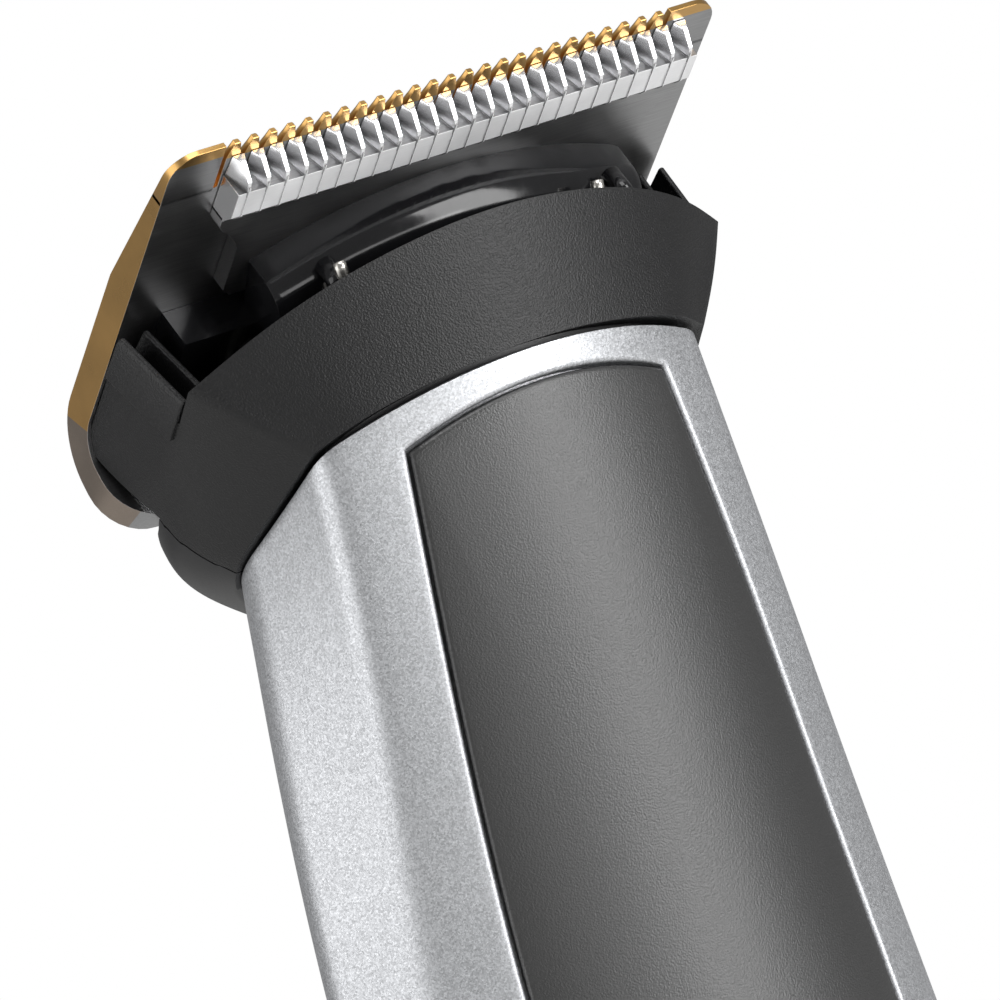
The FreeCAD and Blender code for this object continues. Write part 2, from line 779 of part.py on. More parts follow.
def make_tension_spring():
    """Bent wire that presses the cutter towards the fixed blade."""
    path = [(-8.6, 10.4, -5.75), (-8.6, 23.1, -6.2), (-7.0, 24.8, -6.25),
            (7.0, 24.8, -6.25), (8.6, 23.1, -6.2), (8.6, 10.4, -5.75)]
    points = [head_point(*place) for place in path]
    edges = [
        Part.LineSegment(points[0], points[1]).toShape(),
        Part.LineSegment(points[1], points[2]).toShape(),
        Part.LineSegment(points[2], points[3]).toShape(),
        Part.LineSegment(points[3], points[4]).toShape(),
        Part.LineSegment(points[4], points[5]).toShape(),
    ]
    wire = Part.Wire(edges)
    start = Part.Wire(Part.makeCircle(0.4, points[0], points[1].sub(points[0])))
    shaped("tension_spring", wire.makePipeShell([start], True, False, 2))


def make_head_base():
    """Floor of the head, with the hole that the drive pin passes through, and its two catches."""
    floor = head_solid(number("head_wall") + 0.1).cut(junction_cutter(1.7))
    floor = floor.cut(Part.makeCylinder(number("drive_hole"), 30, vector(0, 0, 120)))
    shaped("head_base", floor)
    catches = []
    for side in (-1, 1):
        middle = side * number("catch_place")
        half = number("catch_thick / 2")
        width = number("catch_half")
        tip = middle + side * number("catch_thick")
        leg = block(middle - half, middle + half, -width, width, 129.3, 136.0)
        nose = block(min(middle, tip), max(middle, tip), -width, width, 129.3, 130.5)
        catches.append(leg.fuse(nose).cut(block(-20, 20, -5, 5, 136.2, 150)))
    base_above = Part.Face(joint_ring(-6)).extrude(vector(0, 0, 30))
    shaped("latch_hooks", Part.makeCompound([catch.cut(base_above) for catch in catches]))


# drive

def make_motor():
    """Flat-sided motor with its end bell, terminals, mounting plate, screws and shaft seal."""
    body = new_body("motor_can")
    round_face = new_sketch(body, "XY_Plane", "motor_base")
    draw_circle(round_face, "0", "0", "motor_radius")
    pad(body, round_face, "motor_length")
    flats = new_sketch(body, "XY_Plane", "motor_base")
    draw_box(flats, "-12", "12", "motor_flat", "12")
    draw_box(flats, "-12", "12", "-12", "-motor_flat")
    pocket(body, flats, "motor_length", down=False)
    bearing = new_sketch(body, "XY_Plane", "motor_base + motor_length")
    draw_circle(bearing, "0", "0", "shaft_radius + 0.03")
    pocket(body, bearing, "6")
    ring_slab("motor_end_bell", "motor_flat - 0.2", None, "motor_base - 3", "3")
    terminals = [doc.addObject("Part::Box", "motor_terminal_%d" % index) for index in (0, 1)]
    for side, tab in zip((-1, 1), terminals):
        tab.Length, tab.Width, tab.Height = 1.8, 0.4, 2.6
        tab.Placement.Base = vector(side * 4.5 - 0.9, -0.2, number("motor_base") - 5.6)
    keep(joined("Part::Compound", "motor_terminals", terminals), "motor_terminals")
    slab("motor_mount", rectangle("-10.2", "10.2", "-7.2", "4.2"), "motor_base + motor_length", "1.5",
         [("0", "0", "3.0"), ("-7", "-4", "1.0"), ("7", "-4", "1.0")])
    top = number("motor_base + motor_length") + 2.5
    screw_set("motor_screws", [vector(x, -4, top) for x in (-7, 7)], FreeCAD.Rotation(vector(1, 0, 0), 180),
              "1.7", "1.0", "0.95", "1.5")
    ring_slab("shaft_seal", "3.0", "shaft_radius + 0.15", "motor_base + motor_length", "1.5")
    ring_slab("motor_shaft", "shaft_radius", None, "motor_base + motor_length - 5.8", "10.4")


def make_cam():
    """Balanced disc on the shaft with the drive pin set off its centre."""
    body = new_body("eccentric_cam")
    disc = new_sketch(body, "XY_Plane", "cam_base")
    draw_circle(disc, "0", "0", "cam_radius")
    draw_circle(disc, "0", "0", "shaft_radius")
    pad(body, disc, "cam_thick")
    pin = new_sketch(body, "XY_Plane", "cam_base + cam_thick - 0.2")
    draw_circle(pin, "throw", "0", "pin_radius")
    pad(body, pin, "pin_top - cam_base - cam_thick + 0.2")


def make_neck_plate():
    """Lid of the handle under the head, with the cam's hole and the two catch windows."""
    plate = handle_solid(number("wall") + 0.1).cut(ABOVE).common(junction_cutter(-1.6))
    plate = plate.cut(Part.makeCylinder(number("drive_hole"), 30, vector(0, 0, 120)))
    for side in (-1, 1):
        plate = plate.cut(block(side * 9.9 - 1.3, side * 9.9 + 1.3, -2.3, 2.3, 120, 150))
    shaped("neck_plate", plate)


# power and control

def make_power():
    """Rechargeable cell with its tabs, circuit board with its parts, and the charging socket."""
    centre = vector(0, number("cell_depth"), number("cell_base"))
    cell = bar("cell_can", "cell_radius", "cell_length", centre)
    nub = bar("cell_nub", "2.6", "1.2", centre + vector(0, 0, number("cell_length")))
    keep(joined("Part::MultiFuse", "battery_cell", [cell, nub]), "battery_cell")
    for label, height in (("battery_tab_lower", "cell_base - 0.3"),
                          ("battery_tab_upper", "cell_base + cell_length + 1.2")):
        slab(label, rectangle("-2.2", "2.2", "-3.6", "cell_depth + 3"), height, "0.3")
    board = new_body("circuit_board")
    face = new_sketch(board, "XZ_Plane", "board_depth - board_thick")
    draw_box(face, "-board_width / 2", "board_width / 2", "board_base", "board_base + board_length")
    draw_circle(face, "0", "board_base + 3", "1.1")
    pad(board, face, "board_thick")
    parts = (("switch_block", -4.0, 4.0, -7.55, -6.4, 78.0, 91.0 - 4.0),
             ("charge_led", -1.0, 1.0, -7.3, -6.4, 65.0, 67.0),
             ("charge_chip", -2.6, 2.6, -7.6, -6.4, 50.0, 56.0),
             ("power_coil", -3.0, 3.0, -8.2, -6.4, 38.0, 44.0))
    for label, left, right, front, back, low, high in parts:
        chip = doc.addObject("Part::Box", label)
        chip.Length, chip.Width, chip.Height = right - left, back - front, high - low
        keep(chip, label, FreeCAD.Placement(vector(left, front, low), FreeCAD.Rotation()))
    light = bar("light_pipe", "lamp_radius", "4.6", vector(0, -12.0, number("switch_centre - lamp_drop")),
                FreeCAD.Rotation(vector(1, 0, 0), -90))
    keep(light, "light_pipe")
    make_cradle("cradle_lower", "cell_base + 6")
    make_cradle("cradle_upper", "cell_base + cell_length - 10")


def make_cradle(label, height):
    """Saddle between the circuit board and the cell."""
    cradle = new_body(label)
    outline = new_sketch(cradle, "XY_Plane", height)
    draw_box(outline, "-9.0", "9.0", "-board_depth + board_thick", "cell_depth")
    pad(cradle, outline, "4")
    seat = new_sketch(cradle, "XY_Plane", height)
    draw_circle(seat, "0", "cell_depth", "cell_radius + 0.05")
    pocket(cradle, seat, "4", down=False)


def make_socket():
    """Barrel socket for the charging plug, flanged against the inside of the base cap."""
    body = new_body("charging_socket")
    barrel = new_sketch(body, "XY_Plane", "0.4")
    draw_circle(barrel, "0", "0", "socket_outer - 0.02")
    draw_circle(barrel, "0", "0", "socket_bore")
    pad(body, barrel, "socket_length")
    flange = new_sketch(body, "XY_Plane", "2.3")
    draw_circle(flange, "0", "0", "socket_outer + 1.4")
    draw_circle(flange, "0", "0", "socket_bore")
    pad(body, flange, "1.2")
    tabs = [doc.addObject("Part::Box", "socket_tab_%d" % index) for index in (0, 1)]
    for side, tab in zip((-1, 1), tabs):
        tab.Length, tab.Width, tab.Height = 0.4, 1.6, 6.0
        tab.Placement.Base = vector(side * 3.35 - 0.2, -0.8, 9.0)
    keep(joined("Part::Compound", "charging_contacts", tabs), "charging_contacts")


def make_switch():
    """Thumb slider on the grip panel and the carrier that it moves inside the shell."""
    centre = "switch_centre"
    button = new_body("switch_button")
    face = new_sketch(button, "XZ_Plane", "switch_depth + 0.5")
    draw_box(face, "-switch_half", "switch_half", centre + " - switch_reach", centre + " + switch_reach")
    pad(button, face, "1.5")
    groove = new_sketch(button, "XZ_Plane", "switch_depth + 1.55")
    draw_box(groove, "-switch_half + 0.8", "switch_half - 0.8", centre + " - 4.2", centre + " - 3.4")
    cut = pocket(button, groove, "1", down=False)
    doc.recompute()
    pattern(button, cut, "Z_Axis", "7.6", "5")
    carrier = new_body("switch_carrier")
    stem = new_sketch(carrier, "XZ_Plane", "8.0")
    draw_box(stem, "-stem_half", "stem_half", centre + " - 3.2", centre + " + 3.2")
    pad(carrier, stem, "switch_depth + 0.5 - 8.0")
    plate = new_sketch(carrier, "XZ_Plane", "7.9")
    draw_box(plate, "-4.4", "4.4", centre + " - 5", centre + " + 5")
    pad(carrier, plate, "1.0")


make_moving_cutter()
make_carrier()
make_drive_fork()
make_blade_frame()
make_tension_spring()
make_head_base()
make_motor()
make_cam()
make_neck_plate()
make_power()
make_socket()
make_switch()


def write_parts():
    doc.recompute()
    os.makedirs("parts", exist_ok=True)
    for item in doc.Objects:
        if "Invalid" in item.State or "Error" in item.State:
            raise RuntimeError("%s failed: %s" % (item.Label, item.State))
    for piece in PIECES:
        if piece.Shape.isNull() or not piece.Shape.isValid():
            raise RuntimeError("%s has no valid shape" % piece.Label)
        piece.Shape.exportStep("parts/%s.step" % piece.Label)
        print("%-18s %10.1f mm3  %d solid" % (piece.Label, piece.Shape.Volume, len(piece.Shape.Solids)))


write_parts()
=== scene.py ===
import json
import math

import bmesh
import bpy
import numpy as np
from mathutils import Matrix, Vector


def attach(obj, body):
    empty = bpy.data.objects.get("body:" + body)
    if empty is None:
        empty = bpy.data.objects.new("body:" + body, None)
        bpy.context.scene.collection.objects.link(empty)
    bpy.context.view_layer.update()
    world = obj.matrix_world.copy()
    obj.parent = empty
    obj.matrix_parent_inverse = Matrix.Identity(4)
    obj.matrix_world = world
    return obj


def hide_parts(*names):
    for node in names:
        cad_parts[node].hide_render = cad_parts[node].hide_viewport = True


# Cordless beard trimmer: painted handle with black grips, tilted cutting head with a gold blade.
# Everything is in metres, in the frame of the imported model: +Z up, the grip side faces -Y.

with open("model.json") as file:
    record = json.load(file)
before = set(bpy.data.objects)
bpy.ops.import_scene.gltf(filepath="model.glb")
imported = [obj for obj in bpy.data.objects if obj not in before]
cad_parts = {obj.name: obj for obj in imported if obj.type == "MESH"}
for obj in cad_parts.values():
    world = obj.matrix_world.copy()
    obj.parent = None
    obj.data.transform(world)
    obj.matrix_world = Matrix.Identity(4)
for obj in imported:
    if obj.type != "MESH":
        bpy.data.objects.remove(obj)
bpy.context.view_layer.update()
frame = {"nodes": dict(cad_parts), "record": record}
nodes = frame["nodes"]
mm = 0.001
print("frame loaded:", len(nodes), "nodes")


# camera: on the left of the grip side, level with the head, rolled so that the handle leans

view = {
    "place": (-0.23691, -0.38326, 0.13233),
    "turn": 32.0,          # degrees that it looks from +Y towards +X
    "roll": -18.81,        # degrees
    "lens": 277.2,
    "sensor": 36.0,
}


def makeCamera():
    turn, roll = math.radians(view["turn"]), math.radians(view["roll"])
    ahead = Vector((math.sin(turn), math.cos(turn), 0))
    side = Vector((math.cos(turn), -math.sin(turn), 0))
    up = Vector((0, 0, 1))
    right = side * math.cos(roll) + up * math.sin(roll)
    top = up * math.cos(roll) - side * math.sin(roll)
    data = bpy.data.cameras.new("camera")
    data.lens = view["lens"]
    data.sensor_width = view["sensor"]
    data.clip_start = 0.01
    camera = bpy.data.objects.new("camera", data)
    rows = Matrix((right, top, -ahead)).transposed().to_4x4()
    camera.matrix_world = Matrix.Translation(view["place"]) @ rows
    bpy.context.scene.collection.objects.link(camera)
    bpy.context.scene.camera = camera


# studio: a pale room, white where the camera sees past the part, and four soft boxes:
# a tall key, a wide one on the left, a low strip and one overhead; the floor is a pale disc

studio = {
    "middle": (0.0, 0.0, 0.125),
    "room": 0.30,          # brightness of the surroundings
    "floorRadius": 0.55,
    "floorCorners": 96,
    "floorColour": (0.80, 0.80, 0.79),
    "boxes": {             # direction, distance, width, height, watts
        "keyBox": ((0.53, -0.85, 0.12), 0.80, 0.30, 0.90, 5.6),
        "leftBox": ((-0.92, 0.10, 0.20), 0.80, 0.70, 0.90, 3.4),
        "lowBox": ((0.10, -0.98, -0.06), 0.80, 0.70, 0.14, 0.9),
        "topBox": ((0.05, -0.45, 1.00), 0.80, 0.50, 0.50, 3.0),
    },
}


def makeStudio():
    world = bpy.data.worlds.new("studio")
    bpy.context.scene.world = world
    world.use_nodes = True
    tree = world.node_tree
    room = tree.nodes["Background"]
    room.inputs["Color"].default_value = (1, 1, 1, 1)
    room.inputs["Strength"].default_value = studio["room"]
    backdrop = tree.nodes.new("ShaderNodeBackground")
    backdrop.inputs["Color"].default_value = (1, 1, 1, 1)
    rays = tree.nodes.new("ShaderNodeLightPath")
    choice = tree.nodes.new("ShaderNodeMixShader")
    tree.links.new(rays.outputs["Is Camera Ray"], choice.inputs[0])
    tree.links.new(room.outputs[0], choice.inputs[1])
    tree.links.new(backdrop.outputs[0], choice.inputs[2])
    tree.links.new(choice.outputs[0], tree.nodes["World Output"].inputs["Surface"])
    middle = Vector(studio["middle"])
    for name, (direction, distance, width, height, watts) in studio["boxes"].items():
        away = Vector(direction).normalized()
        data = bpy.data.lights.new(name, "AREA")
        data.shape = "RECTANGLE"
        data.size, data.size_y, data.energy = width, height, watts
        lamp = bpy.data.objects.new(name, data)
        facing = away.to_track_quat("Z", "Y").to_matrix().to_4x4()
        lamp.matrix_world = Matrix.Translation(middle + away * distance) @ facing
        bpy.context.scene.collection.objects.link(lamp)
    corners = studio["floorCorners"]
    turns = np.linspace(0, 2 * np.pi, corners + 1)[:-1]
    ring = np.stack([np.cos(turns), np.sin(turns), np.zeros(corners)], 1) * studio["floorRadius"]
    floorMesh = bpy.data.meshes.new("floor")
    floorMesh.from_pydata(ring.tolist(), [], [list(range(corners))])
    floor = bpy.data.objects.new("floor", floorMesh)
    bpy.context.scene.collection.objects.link(floor)
    floor.data.materials.append(plainPaint("floorPaint", studio["floorColour"], 0.6))
    bpy.context.scene.view_settings.view_transform = "Standard"
    print("camera and studio ready")


# materials

def newMaterial(name, colour, roughness, metallic=0.0, **more):
    material = bpy.data.materials.new(name)
    material.use_nodes = True
    shader = material.node_tree.nodes["Principled BSDF"]
    shader.inputs["Base Color"].default_value = (*colour, 1)
    shader.inputs["Roughness"].default_value = roughness
    shader.inputs["Metallic"].default_value = metallic
    for socket, value in more.items():
        shader.inputs[socket.replace("_", " ")].default_value = value
    return material, material.node_tree, shader


def addNode(tree, kind, inputs, **settings):
    node = tree.nodes.new("ShaderNode" + kind)
    for name, value in settings.items():
        setattr(node, name, value)
    for name, value in inputs.items():
        if isinstance(value, bpy.types.NodeSocket):
            tree.links.new(value, node.inputs[name])
        else:
            node.inputs[name].default_value = value
    return node


def ownPlace(tree, stretch=(1, 1, 1)):
    place = addNode(tree, "TexCoord", {}).outputs["Object"]
    return addNode(tree, "Mapping", {"Vector": place, "Scale": stretch}).outputs["Vector"]


def spread(tree, value, low, high, fromLow=0.0, fromHigh=1.0):
    return addNode(tree, "MapRange", {"Value": value, "From Min": fromLow, "From Max": fromHigh,
                                      "To Min": low, "To Max": high}).outputs["Result"]


def tinted(tree, colour, brightness):
    # the colour multiplied by a brightness that varies over the surface
    mix = addNode(tree, "Mix", {"Factor": 1.0, "A": (*colour, 1), "B": brightness},
                  data_type="RGBA", blend_type="MULTIPLY")
    return mix.outputs["Result"]


def plainPaint(name, colour, roughness):
    material, tree, shader = newMaterial(name, colour, roughness)
    cloud = addNode(tree, "TexNoise", {"Vector": ownPlace(tree), "Scale": 6.0, "Detail": 3.0})
    shade = tinted(tree, colour, spread(tree, cloud.outputs["Fac"], 0.97, 1.03))
    tree.links.new(shade, shader.inputs["Base Color"])
    return material


def flakePaint(name, colour, roughness, grain, sparkle):
    # metallic paint: every flake is a cell with its own brightness and its own small tilt
    material, tree, shader = newMaterial(name, colour, roughness, 0.85)
    place = ownPlace(tree)
    flakes = addNode(tree, "TexVoronoi", {"Vector": place, "Scale": 1 / grain, "Randomness": 1.0})
    shade = addNode(tree, "SeparateColor", {"Color": flakes.outputs["Color"]})
    cloud = addNode(tree, "TexNoise", {"Vector": place, "Scale": 0.55 / grain, "Detail": 2.0})
    level = addNode(tree, "Math", {0: spread(tree, shade.outputs["Red"], 0.72, 1.12),
                                   1: spread(tree, cloud.outputs["Fac"], 0.85, 1.15)}, operation="MULTIPLY")
    tree.links.new(tinted(tree, colour, level.outputs[0]), shader.inputs["Base Color"])
    gloss = spread(tree, shade.outputs["Green"], roughness - 0.08, roughness + 0.08)
    tree.links.new(gloss, shader.inputs["Roughness"])
    bump = addNode(tree, "Bump", {"Strength": sparkle, "Distance": grain * 0.25,
                                  "Height": shade.outputs["Blue"]})
    tree.links.new(bump.outputs["Normal"], shader.inputs["Normal"])
    return material


def grainPlastic(name, colour, roughness, grain, depth, **more):
    # moulded plastic with a fine grain: its pits set the height and roughness, a wide cloud the brightness
    material, tree, shader = newMaterial(name, colour, roughness, **more)
    place = ownPlace(tree)
    pits = addNode(tree, "TexNoise", {"Vector": place, "Scale": 1 / grain, "Detail": 1.5, "Roughness": 0.5})
    wide = addNode(tree, "TexNoise", {"Vector": place, "Scale": 60.0, "Detail": 3.0})
    gloss = spread(tree, pits.outputs["Fac"], roughness - 0.06, roughness + 0.06)
    tree.links.new(gloss, shader.inputs["Roughness"])
    shade = tinted(tree, colour, spread(tree, wide.outputs["Fac"], 0.88, 1.12))
    tree.links.new(shade, shader.inputs["Base Color"])
    bump = addNode(tree, "Bump", {"Strength": 1.0, "Distance": depth, "Height": pits.outputs["Fac"]})
    tree.links.new(bump.outputs["Normal"], shader.inputs["Normal"])
    return material


def brushedMetal(name, colour, roughness, across, along, marks, metallic=1.0):
    # rolled or ground metal: long thin marks in brightness, roughness and height
    material, tree, shader = newMaterial(name, colour, roughness, metallic)
    place = ownPlace(tree, (1 / along, 1 / across, 1 / across))
    lines = addNode(tree, "TexNoise", {"Vector": place, "Scale": 1.0, "Detail": 4.0, "Roughness": 0.6})
    smear = addNode(tree, "TexNoise", {"Vector": ownPlace(tree), "Scale": 350.0, "Detail": 3.0})
    level = addNode(tree, "Math", {0: spread(tree, lines.outputs["Fac"], 1 - marks, 1 + marks),
                                   1: spread(tree, smear.outputs["Fac"], 0.85, 1.15)}, operation="MULTIPLY")
    tree.links.new(tinted(tree, colour, level.outputs[0]), shader.inputs["Base Color"])
    gloss = spread(tree, smear.outputs["Fac"], roughness * 0.75, roughness * 1.25)
    tree.links.new(gloss, shader.inputs["Roughness"])
    bump = addNode(tree, "Bump", {"Strength": 0.2, "Distance": across * 0.08, "Height": lines.outputs["Fac"]})
    tree.links.new(bump.outputs["Normal"], shader.inputs["Normal"])
    return material


makeCamera()
makeStudio()

silverPaint = flakePaint("silverPaint", (0.57, 0.58, 0.60), 0.42, 0.10 * mm, 0.4)
gripBlack = grainPlastic("gripBlack", (0.020, 0.020, 0.020), 0.38, 0.12 * mm, 0.028 * mm,
                         Specular_IOR_Level=0.85)
collarBlack = grainPlastic("collarBlack", (0.005, 0.005, 0.0055), 0.40, 0.12 * mm, 0.05 * mm,
                           Specular_IOR_Level=0.45)
satinBlack = grainPlastic("satinBlack", (0.008, 0.008, 0.009), 0.36, 0.12 * mm, 0.004 * mm)
glossBlack = grainPlastic("glossBlack", (0.008, 0.008, 0.009), 0.12, 0.5 * mm, 0.002 * mm)
goldCoat = brushedMetal("goldCoat", (0.62, 0.37, 0.13), 0.30, 0.05 * mm, 1.2 * mm, 0.18)
bladeSteel = brushedMetal("bladeSteel", (0.36, 0.36, 0.365), 0.34, 0.06 * mm, 3.0 * mm, 0.35)
wornSteel = brushedMetal("wornSteel", (0.30, 0.25, 0.21), 0.38, 0.05 * mm, 1.0 * mm, 0.25)
groundSteel = brushedMetal("groundSteel", (0.86, 0.86, 0.87), 0.50, 0.04 * mm, 0.8 * mm, 0.08, 0.25)
cutterSteel = brushedMetal("cutterSteel", (0.72, 0.72, 0.73), 0.24, 0.04 * mm, 0.8 * mm, 0.12)
springSteel = brushedMetal("springSteel", (0.62, 0.60, 0.56), 0.25, 0.05 * mm, 1.0 * mm, 0.12)
motorSteel = brushedMetal("motorSteel", (0.55, 0.55, 0.56), 0.35, 0.06 * mm, 1.5 * mm, 0.15)
innerPlastic = grainPlastic("innerPlastic", (0.55, 0.55, 0.52), 0.5, 0.4 * mm, 0.005 * mm)
cellWrap = grainPlastic("cellWrap", (0.05, 0.16, 0.35), 0.30, 0.8 * mm, 0.004 * mm)
boardGreen = grainPlastic("boardGreen", (0.02, 0.16, 0.06), 0.35, 0.5 * mm, 0.004 * mm)
lampClear = grainPlastic("lampClear", (0.70, 0.75, 0.78), 0.15, 0.6 * mm, 0.002 * mm)
print("materials ready")

# finish of every carried-over node, by the record's slots
slotFinish = {
    "silver_paint": silverPaint, "grip_black": gripBlack, "trim_black": collarBlack,
    "cover_black": satinBlack, "bridge_black": glossBlack, "gold_blade": goldCoat,
    "cutter_steel": cutterSteel, "spring_steel": springSteel, "motor_steel": motorSteel,
    "inner_plastic": innerPlastic, "socket_black": satinBlack, "cell_wrap": cellWrap,
    "board_green": boardGreen, "lamp_clear": lampClear,
}
for entry in frame["record"]["subparts"]:
    node = nodes[entry["node"]]
    node.data.materials.clear()
    node.data.materials.append(slotFinish[entry["material_slot"]])
print("carried-over nodes finished")

# surfaces: points are worked out in millimetres as whole arrays, and kept in metres

def splineWeights(steps, at):
    # natural cubic through values at the steps: each row holds how much every value counts at one place
    steps, at = np.asarray(steps, float), np.asarray(at, float)
    count = len(steps)
    gaps = np.diff(steps)
    system, right = np.eye(count), np.zeros((count, count))
    inner = np.arange(1, count - 1)
    system[inner, inner - 1] = gaps[:-1]
    system[inner, inner] = 2 * (gaps[:-1] + gaps[1:])
    system[inner, inner + 1] = gaps[1:]
    right[inner, inner - 1] = 6 / gaps[:-1]
    right[inner, inner] = -6 / gaps[:-1] - 6 / gaps[1:]
    right[inner, inner + 1] = 6 / gaps[1:]
    bends = np.linalg.solve(system, right)
    span = np.clip(np.searchsorted(steps, at.ravel(), side="right") - 1, 0, count - 2)
    after = (at.ravel() - steps[span]) / gaps[span]
    before = 1 - after
    unit = np.eye(count)
    straight = before[:, None] * unit[span] + after[:, None] * unit[span + 1]
    curve = (before ** 3 - before)[:, None] * bends[span] + (after ** 3 - after)[:, None] * bends[span + 1]
    return straight + curve * (gaps[span] ** 2 / 6)[:, None]


def splineThrough(steps, values, at):
    # values at the places asked for, on the smooth curve through the values at the steps
    at = np.asarray(at, float)
    return (splineWeights(steps, at) @ np.asarray(values, float)).reshape(at.shape + np.shape(values)[1:])


def gridFaces(rows, columns, loop=False):
    # quads between the neighbours of a grid of points, the last column joined to the first on a loop
    index = np.arange(rows * columns).reshape(rows, columns)
    if loop:
        index = np.concatenate([index, index[:, :1]], 1)
    return np.stack([index[:-1, :-1], index[:-1, 1:], index[1:, 1:], index[1:, :-1]], -1).reshape(-1, 4)


def loftSolid(rings):
    # closed solid from rings of points (rows, ring, 3): quads between the rings and a face at each end
    rows, count = rings.shape[:2]
    faces = gridFaces(rows, count, loop=True).tolist()
    faces += [list(range(count))[::-1], list(range((rows - 1) * count, rows * count))]
    return rings.reshape(-1, 3), faces


def gathered(solids):
    # several (points, faces) pairs as one
    points, faces, first = [], [], 0
    for more, sides in solids:
        points.append(more)
        faces += [[corner + first for corner in side] for side in sides]
        first += len(more)
    return np.concatenate(points), faces


def makePiece(name, points, faces, materials, body, slot, replaced=(), outward=None):
    # mesh object from points in millimetres, riding on a body; an open skin also says which way is out
    mesh = bpy.data.meshes.new(name)
    corners = [list(map(int, face)) for face in faces]
    mesh.from_pydata((np.asarray(points) * mm).tolist(), [], corners)
    work = bmesh.new()
    work.from_mesh(mesh)
    bmesh.ops.remove_doubles(work, verts=work.verts, dist=0.0005 * mm)
    bmesh.ops.dissolve_degenerate(work, edges=work.edges, dist=0.0002 * mm)
    bmesh.ops.recalc_face_normals(work, faces=work.faces)
    if outward is not None:
        lean = sum(face.normal.dot(outward(face.calc_center_median())) * face.calc_area()
                   for face in work.faces)
        if lean < 0:
            bmesh.ops.reverse_faces(work, faces=work.faces)
    work.to_mesh(mesh)
    work.free()
    mesh.shade_smooth()
    piece = bpy.data.objects.new(name, mesh)
    bpy.context.scene.collection.objects.link(piece)
    for material in materials:
        mesh.materials.append(material)
    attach(piece, body)
    if replaced:
        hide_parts(*replaced)
    return piece


def addBevel(piece, width, angle=30.0, segments=2):
    bevel = piece.modifiers.new("edges", "BEVEL")
    bevel.width = width * mm
    bevel.segments = segments
    bevel.limit_method = "ANGLE"
    bevel.angle_limit = math.radians(angle)
    bevel.harden_normals = True


# handle: its cross-section changes from the base up; sizes in millimetres

handle = {
    "heights": (1.6, 16.0, 52.0, 84.0, 108.0, 123.0, 138.0, 150.0),
    "crease": (14.9, 15.7, 17.0, 17.1, 15.99, 14.61, 13.56, 13.0),       # half-width of the front face
    "creaseDepth": (5.9, 5.9, 5.6, 5.6, 6.1, 7.92, 9.07, 9.6),
    "front": (11.2, 11.7, 12.2, 12.0, 11.8, 12.3, 12.9, 13.3),
    "side": (17.5, 18.6, 20.2, 20.4, 19.45, 17.5, 14.95, 13.4),          # half-width at the side edge
    "back": (12.0, 13.0, 14.6, 14.9, 14.2, 13.0, 11.6, 10.8),
    "creaseBlend": 1.1,                  # length of each face that the rounded crease takes up
    "edgeBlend": 1.6,
    "haunch": (0.87, 0.29),              # shares of side and back: the rear curve's points off the middle
    "quarter": (0.56, 0.75),
    "rearSteps": (0.0, 3.6, 11.5, 22.5, 33.5, 41.4, 45.0),               # distances along the rear curve
    "turns": (0.08, 0.35, 0.45),         # places round the side where crease, flank and edge end
    "baseCap": 6.0,
    "seam": 3.0,
    "joint": (138.0, 9.07, 27.5),        # height, depth and slope of the joint with the head
    "seamGap": 0.05,
    "jointGap": 0.03,
    "wall": 1.1,
    "columns": 40,                       # columns of the flank's grid
    "topGuess": 132.0,                   # where the search for the flank's top row starts
    "rounds": 14,                        # rounds that settle a top row on the joint's slope
    "halvings": 24,                      # rounds that find the seam
}
panel = {
    "side": ((15.0, 6.4), (22.0, 10.2), (50.0, 12.1), (84.0, 12.3), (108.0, 11.65), (123.0, 10.57),
             (136.54, 9.10)),            # height and half-width
    "top": 138.1,
    "bottom": 12.8,
    "gap": 0.16,
    "recess": 1.35,
    "clearance": 0.08,                   # between the panel's underside and the recess's ledge
    "crown": 0.25,
    "edge": 0.32,                        # rounding of the panel's rim
    "lip": 0.30,                         # rounding of the shell's rim around it
    "ledge": 1.6,
    "slot": (2.9, 78.4, 90.6, 0.18),     # half-width, bottom, top and corner share of the switch slot
    "counts": (120, 24),                 # points along each side and along each end of every outline
}
loopTotal = 2 * sum(panel["counts"])


def section(name, height):
    # one measure of the cross-section, on a smooth curve up the handle
    return splineThrough(handle["heights"], handle[name], height)


def bowRadius(height):
    # circle through the front middle and both creases
    rise = section("front", height) - section("creaseDepth", height)
    return (section("crease", height) ** 2 + rise ** 2) / (2 * rise)


def frontPoint(across, height, depth=0.0):
    # point on the bowed front at x, sunk by a depth along the bow's own radius
    bow = bowRadius(height)
    turn = np.arcsin(across / bow)
    reach = bow - depth
    return np.stack([reach * np.sin(turn), bow - section("front", height) - reach * np.cos(turn),
                     height + 0 * across], -1)


def bezier(first, middle, last, share):
    # quadratic curve from the first point to the last, drawn towards the middle one
    share = share[..., None]
    return (1 - share) ** 2 * first + 2 * share * (1 - share) * middle + share ** 2 * last


def shareOf(value, start, end):
    return np.clip((value - start) / (end - start), 0, 1)


